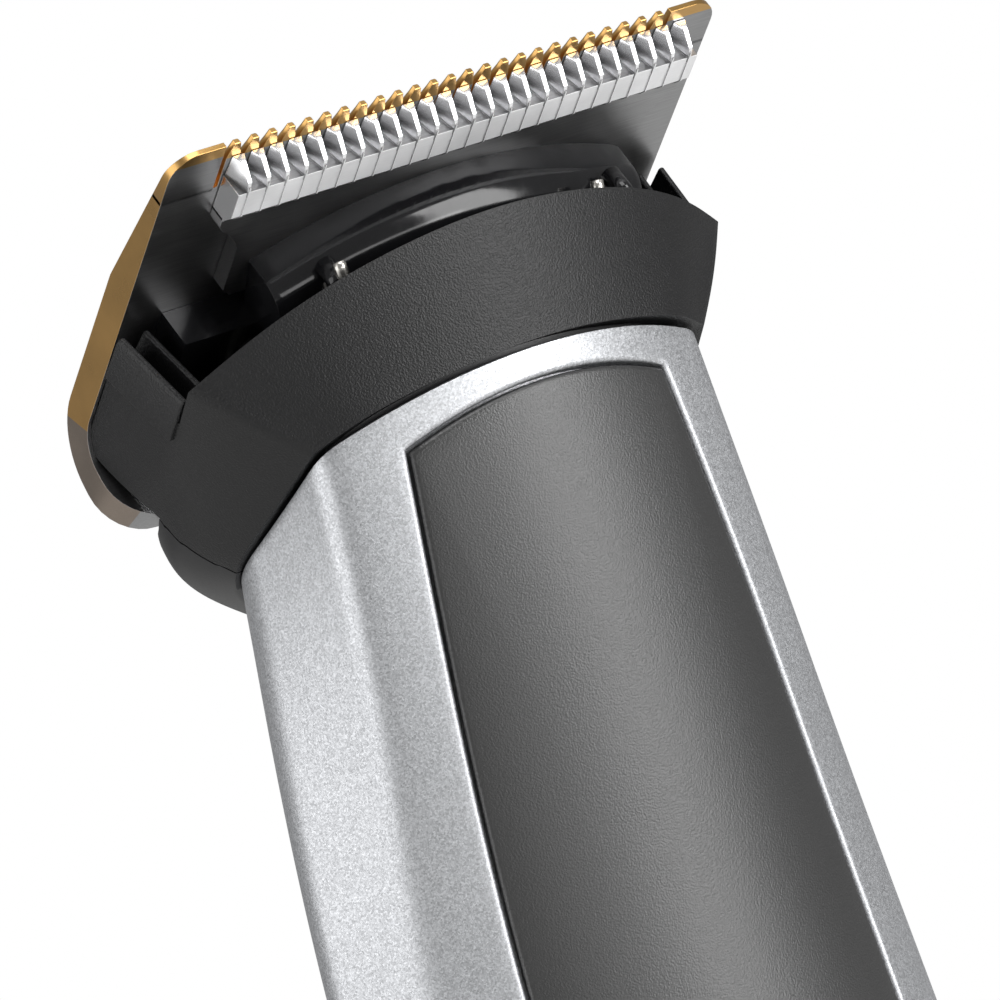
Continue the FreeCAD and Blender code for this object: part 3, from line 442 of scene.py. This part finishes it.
def sidePoint(place, height):
    # point round the side from the front's edge (0) over the crease, flank and side edge to the back (1)
    crease, creaseDepth = section("crease", height), section("creaseDepth", height)
    side, back = section("side", height), section("back", height)
    start = frontPoint(crease - handle["creaseBlend"], height)[..., :2]
    corner = np.stack([crease, -creaseDepth], -1)
    edge = np.stack([side, 0 * side], -1)
    flank = edge - corner
    flank /= np.linalg.norm(flank, axis=-1, keepdims=True)
    haunch = np.stack([side * handle["haunch"][0], back * handle["haunch"][1]], -1)
    quarter = np.stack([side * handle["quarter"][0], back * handle["quarter"][1]], -1)
    spine = np.stack([0 * back, back], -1)
    inward = haunch - edge
    inward /= np.linalg.norm(inward, axis=-1, keepdims=True)
    creaseEnd = corner + flank * handle["creaseBlend"]
    edgeStart, edgeEnd = edge - flank * handle["edgeBlend"], edge + inward * handle["edgeBlend"]
    flip = np.array([-1, 1])
    run = np.stack([edgeEnd, haunch, quarter, spine, quarter * flip, haunch * flip, edgeEnd * flip], -2)
    steps = handle["rearSteps"]
    first, second, third = handle["turns"]
    weights = splineWeights(steps, shareOf(place, third, 1.0) * steps[3]).reshape(place.shape + (len(steps),))
    rear = (weights[..., None] * run).sum(-2)
    crest = bezier(start, corner, creaseEnd, shareOf(place, 0.0, first))
    flat = creaseEnd + (edgeStart - creaseEnd) * shareOf(place, first, second)[..., None]
    bend = bezier(edgeStart, edge, edgeEnd, shareOf(place, second, third))
    choice = place[..., None]
    found = np.where(choice < third, bend, rear)
    found = np.where(choice < second, flat, found)
    found = np.where(choice < first, crest, found)
    return np.concatenate([found, np.broadcast_to(height, place.shape)[..., None]], -1)


def jointHeight(depth):
    # height of the sloping joint plane at a place y
    height, start, slope = handle["joint"]
    return height - math.tan(math.radians(slope)) * (depth + start)


def panelHalf(height):
    # half-width of the panel, on a smooth curve up its side
    heights, halves = zip(*panel["side"])
    return splineThrough(heights, halves, height)


def arcHeight(across, half, corner, middle):
    # circular arc from corner height at x = half to middle height at x = 0
    sag = middle - corner
    radius = (half ** 2 + sag ** 2) / (2 * abs(sag))
    return middle - math.copysign(1, sag) * (radius - np.sqrt(radius ** 2 - across ** 2))


def panelOutline(grow):
    # closed line round the panel: right side up, top arc to the left, left side down, bottom arc back
    sideCount, endCount = panel["counts"]
    lowZ, highZ = panel["side"][0][0], panel["side"][-1][0]
    lowX, highX = panel["side"][0][1] + grow, panel["side"][-1][1] + grow
    share = np.arange(sideCount) / sideCount
    rise = lowZ + (highZ - lowZ) * share
    right = np.stack([panelHalf(rise) + grow, rise + grow * (2 * share - 1)], -1)
    across = highX * (1 - 2 * np.arange(endCount) / endCount)
    top = np.stack([across, arcHeight(across, highX, highZ + grow, panel["top"] + grow)], -1)
    fall = highZ - (highZ - lowZ) * share
    left = np.stack([-panelHalf(fall) - grow, fall + grow * (1 - 2 * share)], -1)
    across = -lowX * (1 - 2 * np.arange(endCount) / endCount)
    bottom = np.stack([across, arcHeight(across, lowX, lowZ - grow, panel["bottom"] - grow)], -1)
    return np.concatenate([right, top, left, bottom])


def slotLoop():
    # round-cornered slot with as many points as the panel's outline, in step with its sides and ends
    half, low, high, corner = panel["slot"]
    sideCount, endCount = panel["counts"]
    side = np.arange(sideCount) / sideCount
    end = 1 - 2 * np.arange(endCount) / endCount
    pull = lambda share: 1 - corner * (2 * np.abs(share - 0.5)) ** 12
    right = np.stack([half * pull(side), low + (high - low) * side], -1)
    top = np.stack([half * end * (1 - corner), high + 0 * end], -1)
    left = np.stack([-half * pull(side), high - (high - low) * side], -1)
    bottom = np.stack([-half * end * (1 - corner), low + 0 * end], -1)
    return np.concatenate([right, top, left, bottom])


def makeGripPanel():
    # rows run out from the switch slot over a shallow crown, round the rim, down its wall and back below
    inner, outline = slotLoop(), panelOutline(0.0)
    rows = [frontPoint(inner[:, 0], inner[:, 1], panel["recess"])]
    shares = 1 - (1 - np.linspace(0, 1, 17)) ** 1.4
    brim = panelOutline(-panel["edge"])
    for share in shares:
        place = inner + (brim - inner) * share
        rows.append(frontPoint(place[:, 0], place[:, 1], -panel["crown"] * (1 - share ** 5)))
    for turn in np.linspace(0, math.pi / 2, 5)[1:]:
        place = panelOutline(-panel["edge"] * (1 - math.sin(turn)))
        rows.append(frontPoint(place[:, 0], place[:, 1], panel["edge"] * (1 - math.cos(turn))))
    rows.append(frontPoint(outline[:, 0], outline[:, 1], panel["recess"]))
    rows.append(rows[0])
    points = np.stack(rows)
    makePiece("gripPanel", points.reshape(-1, 3), gridFaces(len(rows), loopTotal, loop=True),
              [gripBlack], "handle", "grip_black", ["grip_panel"])


def seamPlace(height):
    # place round the side at which the two shells meet, found by halving
    low, high = np.full(height.shape, 0.40), np.full(height.shape, 0.75)
    for _ in range(handle["halvings"]):
        middle = (low + high) / 2
        behind = sidePoint(middle, height)[..., 1] > handle["seam"]
        low, high = np.where(behind, low, middle), np.where(behind, middle, high)
    return (low + high) / 2


def flankGrid(share):
    # grid over one flank: rows at shares of the height, columns from the crease to the seam between the
    # shells; the top row settles on the joint's slope, because its height and its place depend on each other
    share = share[:, None]
    column = np.linspace(0, 1, handle["columns"])[None, :]
    low = handle["baseCap"] + handle["seamGap"]
    height = low + (handle["topGuess"] - low) * share + 0 * column
    for _ in range(handle["rounds"]):
        place = seamPlace(height) * column
        top = jointHeight(sidePoint(place, height)[..., 1]) - handle["jointGap"]
        height = low + (top[-1:, :] - low) * share
    return sidePoint(place, height)


def makeFrontShell():
    # front face in rows from the recess's ledge out to both creases, the joint and the base, and both flanks
    sideCount, endCount = panel["counts"]
    low = handle["baseCap"] + handle["seamGap"]
    flank = flankGrid(np.arange(sideCount + 1) / sideCount)
    mirror = np.array([-1, 1, 1])
    right = flank[:, 0]
    across = 1 - 2 * np.arange(endCount + 1) / endCount
    top = np.stack([right[-1, 0] * across, 0 * across, handle["joint"][0] + 0 * across], -1)
    for _ in range(handle["rounds"]):
        face = frontPoint(top[:, 0], top[:, 2])
        top[:, 2] = jointHeight(face[:, 1]) - handle["jointGap"]
    bottom = np.stack([-right[0, 0] * across, 0 * across, low + 0 * across], -1)
    left = right[::-1] * mirror
    rim = np.concatenate([right[:-1], top[:-1], left[:-1], bottom[:-1]])[:, [0, 2]]
    brim = panelOutline(panel["gap"] + panel["lip"])
    ledge = panelOutline(-panel["ledge"])
    wall = panelOutline(panel["gap"])
    floor = panel["recess"] + panel["clearance"]
    rows = [frontPoint(ledge[:, 0], ledge[:, 1], floor), frontPoint(wall[:, 0], wall[:, 1], floor)]
    for turn in np.linspace(0, math.pi / 2, 5):
        place = panelOutline(panel["gap"] + panel["lip"] * (1 - math.cos(turn)))
        rows.append(frontPoint(place[:, 0], place[:, 1], panel["lip"] * (1 - math.sin(turn))))
    for share in np.linspace(0, 1, 9)[1:]:
        place = brim + (rim - brim) * share
        rows.append(frontPoint(place[:, 0], place[:, 1]))
    points = np.stack(rows)
    solids = [(points.reshape(-1, 3), gridFaces(len(rows), loopTotal, loop=True).tolist())]
    for side in (flank, flank * mirror):
        solids.append((side.reshape(-1, 3), gridFaces(*side.shape[:2]).tolist()))
    outward = lambda place: Vector((place.x, place.y, 0))
    shell = makePiece("frontShell", *gathered(solids), [silverPaint], "handle", "silver_paint",
                      ["front_shell"], outward)
    thicken(shell, handle["wall"])
    addBevel(shell, 0.12, 50)


def thicken(piece, thickness):
    # wall grown inwards from an open skin
    wall = piece.modifiers.new("wall", "SOLIDIFY")
    wall.thickness = thickness * mm
    wall.offset = -1.0
    wall.use_even_offset = False


def copyOf(node, name, material, body, bevel, angle=30.0, segments=2):
    # merged copy of a carried-over mesh, so that its edges can be rounded
    mesh = nodes[node].data.copy()
    mesh.name = name
    work = bmesh.new()
    work.from_mesh(mesh)
    bmesh.ops.remove_doubles(work, verts=work.verts, dist=0.002 * mm)
    bmesh.ops.dissolve_limit(work, angle_limit=math.radians(0.6), verts=work.verts, edges=work.edges)
    work.to_mesh(mesh)
    work.free()
    mesh.materials.clear()
    mesh.materials.append(material)
    mesh.shade_smooth()
    piece = bpy.data.objects.new(name, mesh)
    bpy.context.scene.collection.objects.link(piece)
    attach(piece, body)
    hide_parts(node)
    addBevel(piece, bevel, angle, segments)


# head: its own tilted axes run across (x), back from the tooth tips (s) and up from the rubbing plane (n)

headFrame = {"front": 14.0, "rise": 155.94, "tilt": 32.0}
collar = {
    "rimFront": ((0, 4.2), (5.97, 4.95), (10.9, 6.65), (15.1, 9.15), (19.0, 12.6)),      # x and s at the rim
    "rimSide": ((19.0, 12.6), (18.7, 17.5), (17.9, 24.0), (16.6, 27.6), (11.5, 30.6), (0, 31.9)),
    "jointFront": ((0, -13.45), (4.5, -13.05), (8.5, -12.1), (11.5, -10.95), (13.95, -9.25)),   # x and y
    "jointSide": ((13.95, -9.25), (15.1, -4.6), (15.75, 0.2), (13.3, 4.2), (8.5, 8.5), (0, 11.2)),
    "jointShare": 0.012,     # the skin starts this share of the way up from the joint
    "rim": -6.5,
    "parting": 24.0,         # s behind which the cover takes over
    "partingGap": 0.003,     # in places round the ring
    "wall": 1.5,
    "sideSwell": 0.35,       # how far the sides and the back swell between the joint and the rim
    "backSwell": 0.9,
    "sideFrom": (0.9, 1.1),  # places round the ring between which each swell sets in
    "backFrom": (1.2, 1.6),
    "shelf": (25.0, -5.75),  # where the cover's top ends under the blade's tail, and its level
    "ramp": (15.5, 16.3),    # the side walls rise from the rim to the blade between these
    "seat": (19.0, -0.06),   # half-width and level of the side walls' top
}


def headPoint(x, s, n):
    # the head's own axes turned by the tilt and moved to the tooth tips
    tilt = math.radians(headFrame["tilt"])
    x, s, n = np.broadcast_arrays(x, s, n)
    return np.stack([x, -headFrame["front"] + s * math.cos(tilt) + n * math.sin(tilt),
                     headFrame["rise"] - s * math.sin(tilt) + n * math.cos(tilt)], -1)


def intoHead(points):
    # the reverse of headPoint
    tilt = math.radians(headFrame["tilt"])
    y, z = points[..., 1] + headFrame["front"], points[..., 2] - headFrame["rise"]
    return np.stack([points[..., 0], y * math.cos(tilt) - z * math.sin(tilt),
                     y * math.sin(tilt) + z * math.cos(tilt)], -1)


def halfRing(front, side, at):
    # at 0 the front's middle, at 1 the corner, at 2 the back's middle; each half is a smooth curve
    flip = np.array([-1, 1, 1])
    front, side = np.asarray(front, float), np.asarray(side, float)
    frontRun = np.concatenate([front[::-1] * flip, front[1:]])
    sideRun = np.concatenate([side, side[::-1][1:] * flip])
    frontSteps = np.concatenate([[0], np.cumsum(np.linalg.norm(np.diff(frontRun, axis=0), axis=1))])
    sideSteps = np.concatenate([[0], np.cumsum(np.linalg.norm(np.diff(sideRun, axis=0), axis=1))])
    ahead = splineThrough(frontSteps, frontRun, frontSteps[-1] * (0.5 + 0.5 * np.clip(at, 0, 1)))
    behind = splineThrough(sideSteps, sideRun, sideSteps[-1] * 0.5 * np.clip(at - 1, 0, 1))
    return np.where((at <= 1)[..., None], ahead, behind)


def jointRing(at):
    # the head's outline where it meets the handle, on the joint's slope
    front, side = [np.array(collar[name], float) for name in ("jointFront", "jointSide")]
    front, side = [np.concatenate([part, jointHeight(part[:, 1:])], 1) for part in (front, side)]
    return halfRing(front, side, at)


def rimRing(at):
    # the head's outline at the rim, level with the head's own axes
    front, side = [np.array(collar[name], float) for name in ("rimFront", "rimSide")]
    return halfRing(headPoint(front[:, 0], front[:, 1], collar["rim"]),
                    headPoint(side[:, 0], side[:, 1], collar["rim"]), at)


def outwards(points):
    # unit directions away from the upright axis
    away = points * np.array([1, 1, 0])
    return away / np.maximum(np.linalg.norm(away, axis=-1, keepdims=True), 1e-6)


def smooth(value, start, end):
    # 0 before the start, 1 past the end, and an even S between
    share = shareOf(value, start, end)
    return share * share * (3 - 2 * share)


def headForm(rise, at):
    # 0 at the joint, 1 at the rim; the sides swell a little on the way and the back swells more
    low, high = jointRing(at), rimRing(at)
    points = low + (high - low) * rise[..., None]
    swell = collar["sideSwell"] * smooth(at, *collar["sideFrom"])
    swell = swell + collar["backSwell"] * smooth(at, *collar["backFrom"])
    return points + outwards(points) * (swell * np.sin(np.pi * rise))[..., None]


def partingAt(rise):
    # place on each row where the collar ends and the cover begins
    at = np.linspace(1.0, 2.0, 240)
    grid = headForm(rise[:, None] + 0 * at, at + 0 * rise[:, None])
    back = intoHead(grid)[..., 1]
    share = np.argmax(back > collar["parting"], axis=1)
    return at[share]


def bothSides(half):
    # columns from the left over the front to the right, from the right half
    return np.concatenate([half[:, ::-1][:, :-1] * np.array([-1, 1, 1]), half], 1)


def walled(skin, wall):
    # each column of a skin becomes a closed profile with its inner face, and the profiles are joined
    inner = skin - outwards(skin) * wall
    rings = np.concatenate([skin, inner[::-1]], 0).transpose(1, 0, 2)
    return loftSolid(rings)


def makeCollar():
    # rows from the joint to the rim and on up the side walls, columns from parting line to parting line
    rise = np.linspace(collar["jointShare"], 1, 22)
    end = partingAt(rise)[:, None]
    ahead = np.linspace(0, 1, 40)[None, :] + 0 * end
    behind = 1 + (end - 1) * np.linspace(0, 1, 30)[None, 1:]
    at = np.concatenate([ahead, behind], 1)
    half = headForm(rise[:, None] + 0 * at, at)
    rim = intoHead(half[-1])
    height = smooth(rim[:, 1], *collar["ramp"]) * (at[-1] >= 1)
    seatHalf, seatLevel = collar["seat"]
    lift = np.linspace(0, 1, 9)[1:, None] * height
    bow = np.sin(0.5 * np.pi * lift)
    walls = headPoint(rim[:, 0] + (seatHalf - rim[:, 0]) * bow * (at[-1] >= 1), rim[:, 1] + 0 * lift,
                      rim[:, 2] + (seatLevel - rim[:, 2]) * lift)
    skin = bothSides(np.concatenate([half, walls], 0))
    piece = makePiece("collar", *walled(skin, collar["wall"]), [collarBlack], "head", "trim_black",
                      ["head_collar"])
    addBevel(piece, 0.2, 45, 3)


def makeLugs():
    # two posts with a channel down the front, one at each end of the collar's rim
    profile = np.array([(19.7, 17.5), (19.7, 14.5), (19.55, 14.1), (19.2, 14.1), (19.05, 15.7),
                        (18.15, 15.7), (17.95, 14.1), (17.6, 14.1), (17.4, 14.5), (17.3, 17.5)])
    levels = np.linspace(-6.4, -0.5, 9)[:, None]
    lean = (levels - levels[-1]) / (levels[0] - levels[-1])
    right = headPoint(profile[:, 0] - 0.6 * lean, profile[:, 1] - 0.5 * lean, levels)
    lugs = gathered([loftSolid(right), loftSolid(right * np.array([-1, 1, 1]))])
    piece = makePiece("collarLugs", *lugs, [collarBlack], "head", "trim_black")
    addBevel(piece, 0.14, 35, 2)


def makeRearCover():
    # smooth shell round the back, from parting line to parting line, ending under the blade's tail
    rise = np.linspace(collar["jointShare"], 1, 26)
    start = partingAt(rise)[:, None] + collar["partingGap"]
    at = start + (2 - start) * np.linspace(0, 1, 60)[None, :]
    half = headForm(rise[:, None] + 0 * at, at)
    rim = intoHead(half[-1])
    share = np.array([0.08, 0.3, 0.65, 1.0])[:, None]
    beyond = np.maximum(rim[:, 1] - collar["shelf"][0], 0)
    reach = np.minimum(beyond, 1.0) * (collar["shelf"][1] - collar["rim"])
    shelf = headPoint(rim[:, 0] * (1 - 0.04 * share), rim[:, 1] - beyond * share ** 1.4,
                      rim[:, 2] + reach * share ** 0.5)
    half = np.concatenate([half, shelf], 0)
    skin = np.concatenate([half, half[:, ::-1][:, 1:] * np.array([-1, 1, 1])], 1)
    piece = makePiece("rearCover", *walled(skin, collar["wall"]), [satinBlack], "head", "cover_black",
                      ["rear_cover"])
    addBevel(piece, 0.3, 45, 3)


# fixed blade: pointed teeth between two plain lands, a flat body and a tail bent down at the back

blade = {
    "half": 19.25,
    "thick": 2.1,
    "tipThick": 0.36,
    "bevel": 11.5,            # the top slopes from the tips to here
    "teeth": 25,
    "pitch": 1.245,
    "gap": 0.26,
    "depth": 3.4,
    "overlap": 0.2,           # the teeth reach this far into the body
    "landGap": 0.13,          # between the last gap's middle and the land
    "bendStart": 22.0,
    "bendInner": 2.5,
    "bendTurn": 75.0,
    "tail": 3.7,              # straight length after the bend
    "landRound": 1.8,
    "tailRound": 3.1,
    "bareFrom": 23.2,         # the coating has not reached the tail's edge from here on
}


def bladeTop(s):
    # straight slope from the tips up to the full thickness, level behind it
    slope = (blade["thick"] - blade["tipThick"]) / blade["bevel"]
    return blade["tipThick"] + slope * np.minimum(s, blade["bevel"])


def bladeTeeth():
    # every tooth is a loft from its root to its narrow blunt tip, its top edges chamfered
    places = (np.arange(blade["teeth"]) - (blade["teeth"] - 1) / 2) * blade["pitch"]
    s = np.array([0.0, 0.05, 0.5, 1.1, 2.2, blade["depth"] + blade["overlap"]])
    root = (blade["pitch"] - blade["gap"]) / 2
    half = np.array([0.20, 0.24, 0.36, root, root, root])
    high = bladeTop(s)
    cut = np.array([0.05, 0.10, 0.14, 0.12, 0.08, 0.05])
    x = np.stack([-half, half, half, half - cut, -half + cut, -half], 1)
    n = np.stack([0 * s, 0 * s, high - cut, high, high, high - cut], 1)
    n[0, :2] += 0.04         # the tip is lifted off the rubbing plane
    return [loftSolid(headPoint(x + place, s[:, None], n)) for place in places]


def bladeLands():
    # plain land at each end of the teeth, its outer corner round
    inner = blade["teeth"] / 2 * blade["pitch"] + blade["landGap"]
    turns = np.linspace(0, math.pi / 2, 9)
    s = np.concatenate([blade["landRound"] * (1 - np.cos(turns)), blade["depth"] + np.array([0.25, 0.65])])
    outer = blade["half"] - blade["landRound"] * (1 - np.concatenate([np.sin(turns), [1, 1]]))
    sunk = np.zeros(len(s))
    sunk[-1] = 0.18          # the root narrows inside the body, so that no seam shows
    high = bladeTop(s) - sunk
    x = np.stack([inner + 0 * s, outer - sunk, outer - sunk, inner + 0 * s], 1)
    n = np.stack([sunk, sunk, high, high], 1)
    land = headPoint(x, s[:, None], n)
    return [loftSolid(land), loftSolid(land * np.array([-1, 1, 1]))]


def bladeBody():
    # rectangle carried back along the blade, round the bend and down the tail, which ends in round corners
    flat = np.array([blade["depth"], 6.0, 9.0, blade["bevel"], 15.0, 19.0, blade["bendStart"]])
    turns = np.radians(np.linspace(0, blade["bendTurn"], 13))[1:]
    inner = blade["bendInner"]
    low = np.stack([blade["bendStart"] + inner * np.sin(turns), -inner * (1 - np.cos(turns))], 1)
    high = low + blade["thick"] * np.stack([np.sin(turns), np.cos(turns)], 1)
    steps = np.linspace(0, math.pi / 2, 9)
    along = np.concatenate([[0.3], blade["tail"] - blade["tailRound"] * (1 - np.sin(steps))])
    down = np.array([math.cos(turns[-1]), -math.sin(turns[-1])])
    lowTail, highTail = low[-1] + along[:, None] * down, high[-1] + along[:, None] * down
    low = np.concatenate([np.stack([flat, 0 * flat], 1), low, lowTail])
    high = np.concatenate([np.stack([flat, bladeTop(flat)], 1), high, highTail])
    half = np.full(len(low), blade["half"])
    half[-len(steps):] -= blade["tailRound"] * (1 - np.cos(steps))
    x = np.stack([-half, half, half, -half], 1)
    s = np.stack([low[:, 0], low[:, 0], high[:, 0], high[:, 0]], 1)
    n = np.stack([low[:, 1], low[:, 1], high[:, 1], high[:, 1]], 1)
    return [loftSolid(headPoint(x, s, n))]


def paintFaces(piece, choose):
    # material slot of every face, chosen from its direction and middle in the head's own axes
    count = len(piece.data.polygons)
    normals, centres = np.empty(count * 3), np.empty(count * 3)
    piece.data.polygons.foreach_get("normal", normals)
    piece.data.polygons.foreach_get("center", centres)
    origin = np.array([0, -headFrame["front"], headFrame["rise"]])
    lean, place = intoHead(normals.reshape(-1, 3) + origin), intoHead(centres.reshape(-1, 3) / mm)
    piece.data.polygons.foreach_set("material_index", choose(lean, place).astype(np.int32))


def bladeSides(lean, place):
    # gold above and at the front, bare steel below and inside the bend, worn steel along the tail's edges
    under = (lean[:, 2] < -0.35) & (place[:, 1] > 0.9)
    tail = place[:, 1] > blade["bareFrom"]
    inside = tail & (place[:, 2] < -0.3) & (lean[:, 1] < 0.3)
    return np.where(tail & (np.abs(lean[:, 0]) > 0.5), 2, np.where(under | inside, 1, 0))


def makeFixedBlade():
    piece = makePiece("fixedBlade", *gathered(bladeTeeth() + bladeLands() + bladeBody()),
                      [goldCoat, bladeSteel, wornSteel], "head", "gold_blade", ["fixed_blade"])
    paintFaces(piece, bladeSides)
    addBevel(piece, 0.05, 30, 2)


# moving cutter: a thick toothed bar in front and a thinner plate behind it

cutter = {
    "throw": 1.0,                 # it rests this far off the middle
    "teeth": 25,
    "half": 16.3,
    "waist": 14.4,
    "pitch": 1.303,
    "bar": (2.45, 4.4, 1.72),     # front, back and depth of the bar
    "land": (0.07, 1.80),         # half-width and depth of the thin lands that run down the bar
    "plate": (1.1, 12.4),         # depth and end of the plate
    "fillet": 5.2,
    "rub": 0.03,
}


def cutterTeeth():
    # narrow ridge from the tip back over the bar to the fillet line, on a base that widens to the root
    places = (np.arange(cutter["teeth"]) - (cutter["teeth"] - 1) / 2) * cutter["pitch"]
    landHalf, landDepth = cutter["land"]
    s = np.array([1.0, 1.1, 1.75, 2.3, 2.8])
    deep = np.array([0.55, 0.75, 1.60, 1.75, 1.80])
    base = np.array([0.40, 0.44, 0.50, 0.56, 0.60])
    ridge = np.array([0.16, 0.16, 0.14, 0.10, 0.07])
    x = np.stack([-base, base, ridge, -ridge], 1)
    n = np.stack([-cutter["rub"] + 0 * s, -cutter["rub"] + 0 * s, -deep, -deep], 1)
    front = [loftSolid(headPoint(x + place, s[:, None], n)) for place in places]
    s = np.array([2.0, 4.35, 4.75, cutter["fillet"]])
    deep = np.array([1.78, landDepth, 1.55, 1.17])
    x = np.stack([-landHalf + 0 * s, landHalf + 0 * s, landHalf + 0 * s, -landHalf + 0 * s], 1)
    n = np.stack([-0.9 + 0 * s, -0.9 + 0 * s, -deep, -deep], 1)
    lands = [loftSolid(headPoint(x + place, s[:, None], n)) for place in places]
    return front + lands


def cutterBody():
    # profile of bar, fillet and plate carried across, its ends drawn in behind the bar
    front, back, deep = cutter["bar"]
    plate, end = cutter["plate"]
    s = np.array([front, front, back, back + 0.4, cutter["fillet"], cutter["fillet"]])
    n = -np.array([cutter["rub"], deep, deep, deep - 0.3, plate + 0.07, cutter["rub"]])
    x = np.linspace(-cutter["half"], cutter["half"], 3)
    bar = loftSolid(headPoint(x[:, None], s, n))
    s = np.array([5.0, 5.7, 6.2, 6.8, 7.6, 8.2, end - 0.6, end])
    half = np.array([cutter["half"]] * 2 + [16.0, 15.3, 14.7, cutter["waist"], cutter["waist"], 13.8])
    x = np.stack([-half, half, half, -half], 1)
    n = np.stack([-cutter["rub"] + 0 * s, -cutter["rub"] + 0 * s, -plate + 0 * s, -plate + 0 * s], 1)
    return [bar, loftSolid(headPoint(x, s[:, None], n))]


def cutterSides(lean, place):
    # bright teeth, a matt ground face along the bar, duller steel on the plate behind, and painted shade
    # (darker steel) on the faces in the gaps between the teeth
    face = (lean[:, 2] < -0.8) & (place[:, 2] < -1.5)
    gap = (np.abs(lean[:, 0]) > 0.4) & (place[:, 1] > 2.2) | (lean[:, 1] < -0.9) & (place[:, 1] > 2.0)
    # painted shade: the gap faces take the darker steel to stand in for the shade that falls in the narrow
    # grooves; the plate behind is duller steel
    plateAndGapShade = (place[:, 1] > cutter["fillet"] + 0.1) | gap & (place[:, 1] < 3.0)
    return np.where(face & ~plateAndGapShade, 2, np.where(plateAndGapShade, 1, 0))


def makeMovingCutter():
    # the second finish is darker steel: on the plate behind, and as painted shade in the gaps between the
    # teeth
    points, faces = gathered(cutterTeeth() + cutterBody())
    piece = makePiece("movingCutter", points + np.array([cutter["throw"], 0, 0]), faces,
                      [cutterSteel, bladeSteel, groundSteel], "cutter", "cutter_steel", ["moving_cutter"])
    paintFaces(piece, cutterSides)
    addBevel(piece, 0.025, 30, 1)


# small parts: posts on the bridge, the spring and the charge lamp

smallParts = {
    "post": (10.2, 8.15, 0.60, -3.9, -5.7),             # place across and back, radius, top and bottom
    "spring": ((9.2, 7.0, -4.9), (9.1, 7.5, -5.5), (8.8, 8.8, -5.85), (8.6, 10.4, -5.85), (8.6, 16.0, -6.0),
               (8.5, 22.6, -6.2), (7.0, 24.6, -6.25), (3.0, 24.8, -6.25)),
    "wire": 0.40,                                     # radius of the spring's wire
    "lamp": (66.0, 1.05, -11.9, -12.36, 0.14),        # height, radius, back, rim and crown
}


def turned(radii, levels):
    # rings of a turned shape: one circle for each pair of radius and level
    turns = np.linspace(0, 2 * np.pi, 33)[:-1]
    radii, levels = np.asarray(radii)[:, None], np.asarray(levels)[:, None]
    return radii * np.cos(turns), radii * np.sin(turns), levels + 0 * turns


def makePosts():
    # two round posts on the bridge, the edge of each free end rounded
    across, back, radius, top, bottom = smallParts["post"]
    x, s, n = turned([radius, radius, radius * 0.92, radius * 0.6],
                     [top, bottom + 0.3, bottom + 0.08, bottom])
    solids = [loftSolid(headPoint(x + side * across + cutter["throw"], s + back, n)) for side in (-1, 1)]
    makePiece("bridgePosts", *gathered(solids), [glossBlack], "cutter", "bridge_black")


def makeSpring():
    # round wire carried along a smooth path from one tip round the back to the other
    half = np.array(smallParts["spring"])
    path = np.concatenate([half, half[::-1] * np.array([-1, 1, 1])])
    steps = np.concatenate([[0], np.cumsum(np.linalg.norm(np.diff(path, axis=0), axis=1))])
    line = splineThrough(steps, path, np.linspace(0, steps[-1], 140))
    ahead = np.gradient(line, axis=0)
    ahead /= np.linalg.norm(ahead, axis=1, keepdims=True)
    side = np.cross(ahead, [0, 0, 1])
    side /= np.linalg.norm(side, axis=1, keepdims=True)
    over = np.cross(side, ahead)
    turns = np.linspace(0, 2 * np.pi, 17)[:-1, None]
    ring = smallParts["wire"] * (np.cos(turns) * side[:, None] + np.sin(turns) * over[:, None])
    tube = line[:, None] + ring
    rings = headPoint(tube[..., 0], tube[..., 1], tube[..., 2])
    makePiece("tensionSpring", *loftSolid(rings), [springSteel], "head", "spring_steel", ["tension_spring"])


def makeLamp():
    # shallow dome whose height falls with the square of the radius, on a short cylinder
    height, radius, back, rim, crown = smallParts["lamp"]
    share = np.array([1.0, 1.0, 0.97, 0.85, 0.6, 0.3, 0.04])
    dome = rim - crown * (1 - share ** 2)
    x, z, y = turned(radius * share, np.concatenate([[back], dome[1:]]))
    makePiece("chargeLamp", *loftSolid(np.stack([x, y, z + height], -1)), [lampClear], "handle",
              "lamp_clear", ["light_pipe"])


makeGripPanel()
makeFrontShell()
makeLamp()
print("front of the handle ready")
makeCollar()
makeLugs()
makeRearCover()
print("collar and cover ready")
makeFixedBlade()
makeMovingCutter()
makePosts()
makeSpring()
copyOf("cutter_carrier", "cutterCarrier", glossBlack, "cutter", 0.3)
copyOf("rear_shell", "rearShell", silverPaint, "handle", 0.15, 40)
copyOf("rear_grip", "rearGrip", gripBlack, "handle", 0.3, 40, 3)
copyOf("base_cap", "baseCap", satinBlack, "handle", 0.2, 40)
copyOf("switch_button", "switchButton", satinBlack, "switch", 0.25, 40, 3)
print("cutting set, rear and base ready")
